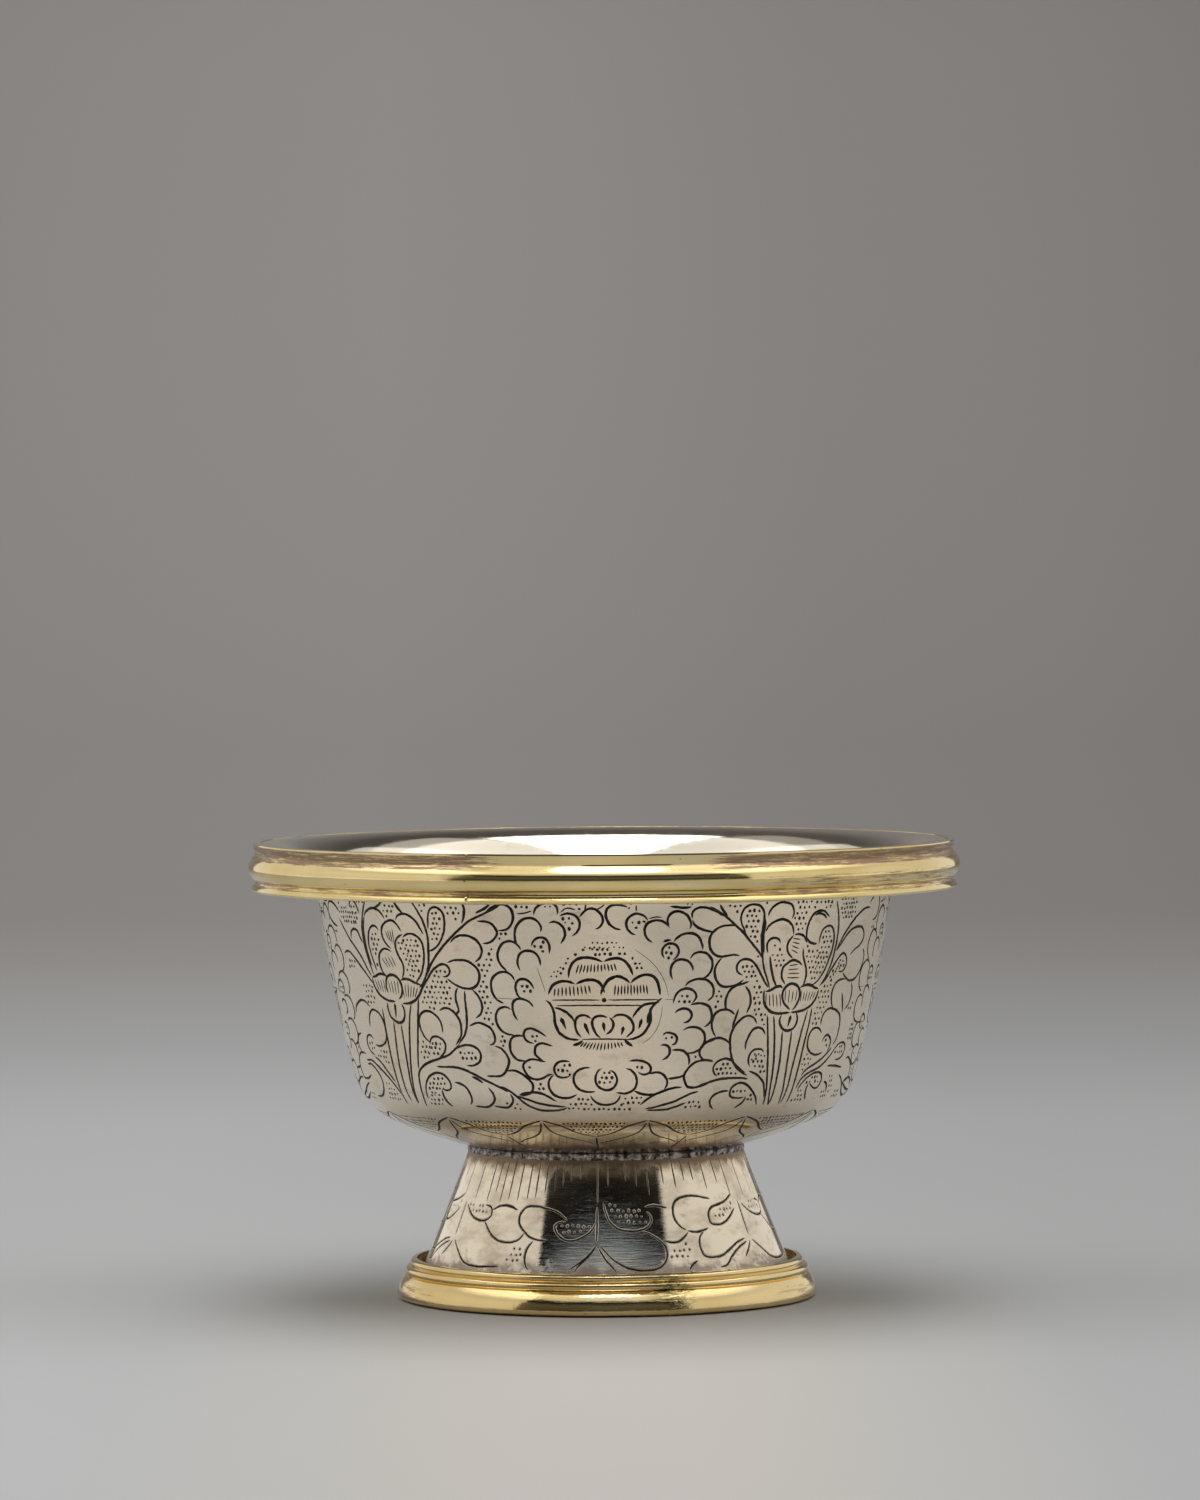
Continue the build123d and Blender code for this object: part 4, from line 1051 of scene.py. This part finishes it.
def bowlLine(v):  # radius, height and outward normal along the bowl's outside
    r, z, angle, left = 0, bowlShape["floor"], 0, v - axisV
    for (bend, sweep), run in zip(bowlShape["arcs"], runs):
        turned = angle + min(left, run) / bend
        r += bend * (math.sin(turned) - math.sin(angle))
        z += bend * (math.cos(angle) - math.cos(turned))
        angle, left = turned, left - run
        if left <= 0:
            break
    return r, z, math.sin(angle), -math.cos(angle)


def bowlPoint(v, inset=0):
    r, z, nr, nz = bowlLine(v)
    return (max(0, r - inset * nr), z - inset * nz)


strokes, dotted, dots = [], [], []
for turn in (0, 1):
    for pattern in (medallion, rightLotus, leftLotus):
        newStrokes, newDotted, newSpots = drawPattern(pattern, turn * bowlEngraving["half"])
        strokes += newStrokes
        dotted += newDotted
        dots += newSpots

# lotus petals under the bowl, round the foot, points outwards; places across are shares of a petal
petals = {"count": 14, "turn": 0.02, "lineWidth": 0.38, "rib": (20.5, 14.2), "valley": (0.42, 25.3, 20.8),
          "dots": (0.72, 0.23),
          "outer": [(0.5, 20.8), (0.4, 21.5), (0.3, 22.6), (0.21, 23.9), (0.1, 24.8), (0, 25.4)],
          "inner": [(0.46, 17.6), (0.34, 19.0), (0.2, 20.3), (0.1, 21.7), (0.045, 23.2), (0.01, 25)]}
wide = bowlEngraving["around"] / petals["count"]
for k in range(petals["count"]):
    tip = bowlEngraving["start"] + wide * (k + petals["turn"])
    for side in (-1, 1):
        for curve in (petals["outer"], petals["inner"]):
            points = [p for a, v in curve for p in (tip + side * a * wide, v)]
            strokes.append(makeStroke(points, petals["lineWidth"]))
    valley = tip + wide / 2
    high, low = petals["rib"]
    strokes.append(makeStroke([valley, high, valley, low], petals["lineWidth"]))
    reach, high, low = petals["valley"]
    field = [(valley - reach * wide, high), (valley, low), (valley + reach * wide, high)]
    dotted.append((field, petals["dots"]))
cells = gatherSegments(strokes)
for polygon, sizes in dotted:
    dots += stipple(cells, polygon, *sizes)
print("bowl engraving:", len(strokes), "strokes,", len(dots), "dots")

bowlMetals = [bowlSilver, insideSilver, darkCut]
bowlBand = engraveBand("bowlBand", strokes, dots, bowlEngraving, bowlLine, bowlMetals)
high, low = bowlEngraving["high"], bowlEngraving["low"]
outline = [bowlPoint(high + (lipV - high) * i / 10) for i in range(11)]
# the inside over lip, wall, shoulder and dish: first and last v, steps
stretches = [(lipV, lipV - 10.94, 14), (54.4, 30, 12), (30, 21.97, 12), (21.97, axisV, 16)]
insideV = [lipV] + [a + (b - a) * i / steps for a, b, steps in stretches for i in range(1, steps + 1)]
outline += [bowlPoint(v, bowlShape["thickness"]) for v in insideV]
bowl = turnOutline("engraved_bowl", outline, bowlShape["turns"])
outline = [bowlPoint(axisV + (low - axisV) * i / 8) for i in range(9)]
under = turnOutline("bowl_under", outline, bowlShape["turns"])
bpy.ops.object.select_all(action="DESELECT")
under.select_set(True)
bowl.select_set(True)
bpy.context.view_layer.objects.active = bowl
bpy.ops.object.join()
joinBand(bowl, bowlBand, bowlMetals)
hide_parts("bowl_body")
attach(bowl, "root")
print("bowl:", len(bowl.data.polygons), "faces")

# the gilt moulding round the lip; uneven and ripple give handWork's grain, depth and clearance
rimShape = {"bore": 46.1, "top": 61.6, "depth": 6.5, "turns": 288, "seam": -22, "calm": 12,
            "uneven": (9, 0.08, 0.012), "ripple": (2.6, 0.03, 0)}
bore, top = rimShape["bore"], rimShape["top"]
foot = top - rimShape["depth"]
outline = [(bore, top), (46.6, top), (47.15, top), (47.256, top - 0.044), (47.3, top - 0.15)]
outline += [(47.29, top - 0.3), (47.14, top - 0.9), (47.02, top - 1.3), (47.0, top - 1.42)]
outline += [(47.06, top - 1.55), (47.25, top - 1.8)]
outline += arcThrough((47.47, top - 2.06), (48.0, top - 3.5), (47.05, top - 5.05), 18)
outline += [(47.03, top - 5.2), (47.05, top - 5.34)]
outline += arcThrough((47.1, top - 5.44), (47.42, top - 5.8), (47.6, top - 6.16), 5)
outline += [(47.58, top - 6.28), (47.5, top - 6.39), (47.36, top - 6.47), (47.2, foot)]
outline += [(bore, foot), (bore, top - 3.2), (bore, top)]
rim = turnOutline("gilt_rim", outline, rimShape["turns"])
ease = easeAtSeam(rim, rimShape["seam"], rimShape["calm"])
handWork(rim, *rimShape["uneven"], ease)
handWork(rim, *rimShape["ripple"], ease)
smoothShade(rim, 32)
rim.data.materials.append(rimGilt)
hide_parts("rim_band")
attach(rim, "root")
print("rim moulding:", len(rim.data.polygons), "faces")

# the engraved cone of the foot
skirtEngraving = {"around": 138.2301, "third": 46.0767, "start": -69.11505, "low": 4.6, "high": 20.2,
                  "columns": 144, "rows": 26, "core": 0.5, "offset": 1.3, "lineWidth": 0.45,
                  "fineWidth": 0.24, "dots": (0.74, 0.25), "uprightTop": (19.4, 19.9), "slant": 0.06}
skirtPattern = {
    "lobes": [
        [-2.6, 14, -2.58, 11.6, -2.6, 9.3], [-2.5, 9.16, -3.3, 8.1, -4.4, 7, -5.8, 6],
        [-2.7, 8.7, -3.6, 7.6, -4.6, 6.6, -5.3, 5.6],
        [-2.25, 9.05, -1.2, 7.9, -.1, 6.9, 1.3, 6.1, 2.9, 5.75, 4.45, 5.8, 5.6, 6.3, 6.3, 7.2, 6.4, 8.4,
         6, 9.2, 5.1, 9.95, 4.2, 10.5, 3.3, 10.75],
        [-2.4, 8.8, -1.45, 7.2, -.5, 6.1, -.1, 5.5],
        [-6.6, 12.1, -7.6, 12.9, -8.7, 13.4, -10.1, 13.7, -11.45, 13.9, -12.8, 13.8, -13.6, 13.1,
         -13.8, 12.3, -13.5, 11.4, -12.6, 10.6, -11.7, 9.95, -10.5, 9.6, -9, 9.6],
        [-11, 9.5, -11.7, 8.6, -11.9, 7.45, -11.6, 6.3, -11.1, 5.75],
        [6.2, 9.5, 7.2, 9.2, 8.3, 9.3, 9.2, 9.85, 9.9, 10.45],
        [9.7, 10.6, 8.8, 11.2, 8.2, 12.2, 8.1, 13.1, 8.5, 14.2, 9.45, 14.8, 10.8, 15, 12.2, 14.95,
         13.5, 14.7, 14.8, 14.4],
        [9.7, 10.6, 10.6, 10.4, 11.7, 10.4, 13.2, 10.75],
        [12.3, 10.4, 11.5, 9.7, 11.2, 8.8, 11.3, 7.9, 11.7, 7.2, 13.1, 7, 14.5, 7.2, 16, 7.9, 17.6, 8.6,
         19.4, 9],
        [9, 5.6, 9.7, 6.3, 10.5, 6.7], [13.4, 5.6, 14.7, 5.9, 15.9, 6.9, 17.6, 7.9, 19.6, 8.6],
        [4, 13.8, 5.4, 14, 6.5, 13.8, 7.4, 13.6], [-19, 13, -17.5, 13.7, -15.8, 13.75, -14.2, 13.25],
        [-19.8, 11.6, -18.1, 10.1, -16.5, 9.3, -14.8, 9.1, -13.3, 9.5, -12.5, 10.5],
        [-25.3, 8.8, -23.75, 7.6, -21.7, 6.2, -19.2, 5.75, -15.4, 6],
        [-25.6, 14, -25.6, 11.6, -25.6, 9.3], [-25.7, 8.7, -26.6, 7.6, -27.8, 6.6],
    ],
    "balls": [
        [-1.8, 14.5, -1.45, 13.4, -1, 12.2, -.1, 11.3, .9, 10.9, 2.2, 10.8, 3.3, 10.9, 4.2, 11.3,
         4.8, 12, 4.7, 12.8, 4.1, 13.25],
        [-2.7, 12, -3.3, 10.9, -4.2, 10.2, -5.3, 9.7, -6.45, 9.6, -7.5, 10.1, -8.2, 10.9, -8.3, 11.5,
         -7.7, 11.9, -6.7, 12],
        [19.3, 14.8, 17.6, 14, 15.8, 13.6, 14.7, 13.4, 14, 12.9, 13.7, 12.2, 13.8, 11.4, 14.7, 11.1,
         16, 11.2, 17.6, 11.9, 19.2, 13],
        [-25, 13.5, -23.3, 12.3, -21.5, 11.7, -19.8, 11.7, -18.8, 12.4, -19.25, 13.4, -20.6, 13.7],
    ],
    "fields": [
        [6.8, 7, 9.4, 7, 9.7, 9, 6.9, 8.8], [-14.5, 6.5, -12.2, 6.5, -12.2, 8.4, -14.3, 8.4],
    ],
    "uprights": [
        (-23.5, 14.2), (-20.6, 14), (-19.2, 15.2), (-17.9, 14), (-16.4, 14.4), (-14.8, 14.3),
        (-13.2, 14.6), (-11.9, 14.8), (-10.5, 15.4), (-9, 15.7), (-7.8, 16.4), (-6.6, 17), (-5.2, 17.3),
        (-2.6, 14.2), (-1.1, 16.4), (1.5, 17), (3.1, 16.4), (4.9, 15.2), (7.3, 16.6), (9.2, 16),
        (10.8, 16.9), (12.4, 16.8), (14.6, 15.6), (17, 16.2), (19.2, 14.4),
    ],
}
skirtShape = {"foot": 0.5, "rise": 20.5, "footRadius": 26.28, "taper": 8.2, "hollow": 0.4, "lean": 1.6,
              "sheet": 0.78}


def skirtLine(height):  # the normal leans a little more than the line, as hand raising leaves it hollower
    t = (height - skirtShape["foot"]) / skirtShape["rise"]
    slope = (-skirtShape["taper"] - skirtShape["lean"] * (1 - 2 * t)) / skirtShape["rise"]
    length = math.hypot(1, slope)
    radius = skirtShape["footRadius"] - skirtShape["taper"] * t - skirtShape["hollow"] * t * (1 - t)
    return radius, height, 1 / length, -slope / length


strokes, dotted, dots = [], [], []
for turn in range(3):
    move = turn * skirtEngraving["third"] + skirtEngraving["offset"]
    for points in skirtPattern["lobes"] + skirtPattern["balls"]:
        strokes.append(makeStroke(along(points, move), skirtEngraving["lineWidth"]))
    for u, lowEnd in skirtPattern["uprights"]:
        points = [u, random.uniform(*skirtEngraving["uprightTop"]), u + skirtEngraving["slant"], lowEnd]
        strokes.append(makeStroke(along(points, move), skirtEngraving["fineWidth"]))
    dotted += [pairs(along(points, move)) for points in skirtPattern["balls"] + skirtPattern["fields"]]
cells = gatherSegments(strokes)
for polygon in dotted:
    dots += stipple(cells, polygon, *skirtEngraving["dots"])
skirtMetals = [skirtSilver, footSilver, brightCut, darkCut]
skirtBand = engraveBand("skirtBand", strokes, dots, skirtEngraving, skirtLine, skirtMetals)
outline = [skirtLine(skirtEngraving["high"])[:2], (18.25, 20.62), (17.5, 20.46)]  # up against the bowl
outline += [(skirtLine(h)[0] - skirtShape["sheet"], h) for h in (18, 15, 12, 9, 6, 3, 0.5)]
outline += [skirtLine(h)[:2] for h in (0.5, 2.5, skirtEngraving["low"])]
skirt = turnOutline("engraved_skirt", outline, skirtEngraving["columns"])
joinBand(skirt, skirtBand, skirtMetals)
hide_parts("foot_skirt")
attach(skirt, "root")
print("skirt:", len(strokes), "strokes,", len(dots), "dots,", len(skirt.data.polygons), "faces")

# the uneven run of solder between bowl and foot
jointShape = {"turns": 480, "uneven": (0.4, 0.16, 0)}
outline = [(18.0, 20.52), (18.46, 19.84), (18.55, 19.76), (18.63, 19.84), (18.68, 20.0), (18.69, 20.18)]
outline += [(18.68, 20.35), (18.7, 20.5), (18.77, 20.64), (18.9, 20.76), (19.04, 20.85), (18.0, 20.52)]
joint = turnOutline("foot_solder", outline, jointShape["turns"])
handWork(joint, *jointShape["uneven"])
smoothShade(joint, 60)
joint.data.materials.append(greySolder)
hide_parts("bowl_foot_solder_bead")
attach(joint, "root")
print("foot solder:", len(joint.data.polygons), "faces")

# the stepped gilt moulding round the foot
ringShape = {"bore": 25.5, "top": 5.5, "throat": 2.45, "turns": 240, "seam": 17, "calm": 14,
             "uneven": (8, 0.09, 0.012), "ripple": (1.8, 0.04, 0)}
bore, top = ringShape["bore"], ringShape["top"]
outline = [(bore, top), (26.0, top)]
outline += arcThrough((26.0, top), (26.55, 4.95), (26.4, 4.5), 8)[1:]
outline += arcThrough((26.4, 4.5), (27.25, 3.85), (26.9, 3.3), 10)[1:]
outline += [(27.2, 3.3)]
outline += arcThrough((27.2, 3.3), (28.02, 2.06), (28.3, 0.6), 10)[1:]
outline += [(28.24, 0.42), (28.08, 0.24), (27.85, 0.13), (27.5, 0.06), (27.1, 0.0), (26.32, 0.0)]
outline += [(skirtLine(h)[0] + 0.02, h) for h in (0.5, 1.2, 2.4)]  # clear of the skirt
outline += [(bore, ringShape["throat"]), (bore, top)]
ring = turnOutline("gilt_foot_ring", outline, ringShape["turns"])
ease = easeAtSeam(ring, ringShape["seam"], ringShape["calm"])
handWork(ring, *ringShape["uneven"], ease)
handWork(ring, *ringShape["ripple"], ease)
smoothShade(ring, 32)
ring.data.materials.append(ringGilt)
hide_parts("foot_ring")
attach(ring, "root")
print("foot ring:", len(ring.data.polygons), "faces")

# solder that keeps its shape from the frame
for nodeName, material in (("rim_seam_solder", rimGilt), ("foot_ring_seam_solder", ringGilt),
                           ("foot_skirt_seam_solder", greySolder), ("rim_solder_bead", greySolder),
                           ("foot_ring_solder_bead", greySolder)):
    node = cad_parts[nodeName]
    node.data.materials.clear()
    node.data.materials.append(material)

# floor that sweeps up into a backdrop
# painted light and shadow on the paper: places front to back, or left to right, as shares of the reach, and
# how pale the paper is painted there
stageShape = {"halfWidth": 3.0, "front": -3.0, "back": 1.0, "bend": 0.6, "bendSteps": 12, "height": 2.2,
              "reach": (-0.5, 1.5), "side": 0.3,
              "paintedLightTones": [(0.0, 0.52), (0.16, 0.517), (0.212, 0.5), (0.26, 0.445), (0.32, 0.434), (0.4, 0.424),
                        (0.5, 0.361)],
              "paintedBackdropTones": [(0.645, 0.321), (0.86, 0.368), (1.0, 0.482)],
              "cool": (0.966, 1, 1.044), "warm": (1.05, 1.015, 1.015),
              "paintedAcrossTones": [(0.0, 0.79), (0.18, 0.83), (0.38, 0.86), (0.5, 0.81), (0.62, 0.745),
                              (0.74, 0.725), (1.0, 0.61)],
              "fade": (-0.02, 0.05), "glow": (0.478, 0.464, 0.447), "glowEdge": (0.01, 0.06),
              "paintedSideLight": (0.405, 0.397, 0.385), "paintedSideLightEdge": (0.082, 0.13)}
bpy.ops.object.select_all(action="DESELECT")
bpy.ops.mesh.primitive_plane_add(size=1, location=(0, 0, 0))
floor = bpy.context.object
floor.name = "floor"
bpy.ops.object.mode_set(mode="EDIT")
bpy.ops.mesh.select_all(action="SELECT")
bpy.ops.transform.resize(value=(2 * stageShape["halfWidth"], stageShape["back"] - stageShape["front"], 1))
bpy.ops.transform.translate(value=(0, (stageShape["back"] + stageShape["front"]) / 2, 0))
bpy.ops.object.mode_set(mode="OBJECT")
for edge in floor.data.edges:
    edge.select = all(floor.data.vertices[k].co.y > 0.5 for k in edge.vertices)
for face in floor.data.polygons:
    face.select = False
for vertex in floor.data.vertices:
    vertex.select = vertex.co.y > 0.5
bpy.ops.object.mode_set(mode="EDIT")
bpy.ops.mesh.select_mode(type="EDGE")
bend, bendSteps = stageShape["bend"], stageShape["bendSteps"]
for i in range(bendSteps):
    a, b = math.radians(90 / bendSteps * i), math.radians(90 / bendSteps * (i + 1))
    step = (0, bend * (math.sin(b) - math.sin(a)), bend * (math.cos(a) - math.cos(b)))
    bpy.ops.mesh.extrude_region_move(TRANSFORM_OT_translate={"value": step})
bpy.ops.mesh.extrude_region_move(TRANSFORM_OT_translate={"value": (0, 0, stageShape["height"])})
bpy.ops.object.mode_set(mode="OBJECT")
smoothShade(floor, 30)
# the paper's colour carries painted light: falloff front to back and side to side, and the bowl's shadow
material, nodes, links, shader, place = startMaterial("paperFloor", Roughness=0.75, Specular_IOR_Level=0.2)
axes = axesOf(nodes, links, place)
depth = rangeOf(nodes, links, axes["Y"], *stageShape["reach"], 0, 1)  # painted light falloff: paler and cooler in front
paintedLightTones = [(at, tuple(tone * share for share in stageShape["cool"])) for at, tone in stageShape["paintedLightTones"]]
paintedLightTones += [(at, tuple(tone * share for share in stageShape["warm"])) for at, tone in stageShape["paintedBackdropTones"]]
across = rangeOf(nodes, links, axes["X"], -stageShape["side"], stageShape["side"], 0, 1)
paintedAcrossTones = [(at, (tone, tone, tone)) for at, tone in stageShape["paintedAcrossTones"]]
shade = addNode(nodes, "ShaderNodeMix", {"Factor": 1}, data_type="RGBA", blend_type="MULTIPLY")
links.new(colourRamp(nodes, links, depth, paintedLightTones), shade.inputs[6])
links.new(colourRamp(nodes, links, across, paintedAcrossTones), shade.inputs[7])
inFront = rangeOf(nodes, links, axes["Y"], *stageShape["fade"], 1, 0)
aside = combine(nodes, links, "ABSOLUTE", axes["X"])
inMiddle = rangeOf(nodes, links, aside, *stageShape["glowEdge"], 1, 0)  # warm light off the bowl
glow = combine(nodes, links, "MULTIPLY", inFront, inMiddle)
atSides = rangeOf(nodes, links, aside, *stageShape["paintedSideLightEdge"], 0, 1)  # painted light: paler on both sides in front
paintedSideLight = combine(nodes, links, "MULTIPLY", inFront, atSides)
lit = mixColour(nodes, links, glow, shade.outputs[2], stageShape["glow"])
links.new(mixColour(nodes, links, paintedSideLight, lit, stageShape["paintedSideLight"]), shader.inputs["Base Color"])
floor.data.materials.append(material)

# studio light: a long soft box overhead with a wing on each side, upright panels left and right, a dark room
studio = {"overhead": {"size": (0.43, 1.3), "place": (0, 0.056, 1.1), "watts": 7.2,
                       "colour": (1, 0.985, 0.96)},
          "wings": {"size": (0.5, 1.65), "place": (0.5, 0.231, 1.1), "watts": (0.75, 1.12),
                    "colour": (1, 0.955, 0.875)},
          "sides": {"away": 0.5, "front": (-0.42, -0.49), "back": 1.05, "height": 0.95, "light": (0.64, 0.64),
                    "colour": (1, 0.955, 0.88)}}


def addPanel(name, place, turn, size, watts, colour):
    bpy.ops.object.light_add(type="AREA", location=place, rotation=[math.radians(a) for a in turn])
    lamp = bpy.context.object
    lamp.name = name
    lamp.data.shape = "RECTANGLE"
    lamp.data.size, lamp.data.size_y = size
    lamp.data.energy = watts
    lamp.data.color = colour
    lamp.visible_camera = False


box = studio["overhead"]
addPanel("overheadBox", box["place"], (0, 0, 0), box["size"], box["watts"], box["colour"])
wing, wall = studio["wings"], studio["sides"]
for side in (-1, 1):
    right = side > 0
    x, y, z = wing["place"]
    addPanel("wingPanel", (side * x, y, z), (0, 0, 0), wing["size"], wing["watts"][right], wing["colour"])
    front, height = wall["front"][right], wall["height"]
    length = wall["back"] - front
    watts = wall["light"][right] * math.pi * length * height
    addPanel("sidePanel", (side * wall["away"], front + length / 2, height / 2), (90, 0, side * 90),
             (length, height), watts, wall["colour"])

world = bpy.data.worlds.new("darkRoom")
bpy.context.scene.world = world
world.use_nodes = True
nodes, links = world.node_tree.nodes, world.node_tree.links
background = nodes["Background"]
place = addNode(nodes, "ShaderNodeTexCoord")
axes = addNode(nodes, "ShaderNodeSeparateXYZ")
links.new(place.outputs["Generated"], axes.inputs["Vector"])
# dark round the horizon in front, a slate step, then pale overhead; what the camera sees is plain
roomTones = [(0.0, (0.03, 0.028, 0.024)), (0.3, (0.1, 0.096, 0.08)), (0.45, (0.085, 0.08, 0.066)),
             (0.54, (0.012, 0.011, 0.009)), (0.616, (0.008, 0.007, 0.006)), (0.622, (0.075, 0.103, 0.142)),
             (0.634, (0.18, 0.212, 0.252)), (0.655, (0.275, 0.308, 0.348)), (0.685, (0.42, 0.432, 0.45)),
             (0.73, (0.75, 0.73, 0.70)), (0.85, (0.8, 0.78, 0.74)), (1.0, (0.5, 0.49, 0.47))]
plainGrey = (0.42, 0.41, 0.4)
room = colourRamp(nodes, links, axes.outputs["Z"], roomTones)
rays = addNode(nodes, "ShaderNodeLightPath")
seen = mixColour(nodes, links, rays.outputs["Is Camera Ray"], room, plainGrey)
links.new(seen, background.inputs["Color"])
background.inputs["Strength"].default_value = 1

photo = {"lens": 171.2, "place": (-0.00025, -0.960, 0.1003), "pitch": 1.59, "roll": 0.40}
bpy.ops.object.camera_add(location=photo["place"],
                          rotation=(math.radians(90 - photo["pitch"]), math.radians(photo["roll"]), 0))
camera = bpy.context.object
camera.data.lens = photo["lens"]
camera.data.sensor_width = 36
camera.data.clip_end = 20
bpy.context.scene.camera = camera
bpy.context.scene.view_settings.view_transform = "Standard"
print("stage, lights and camera set")
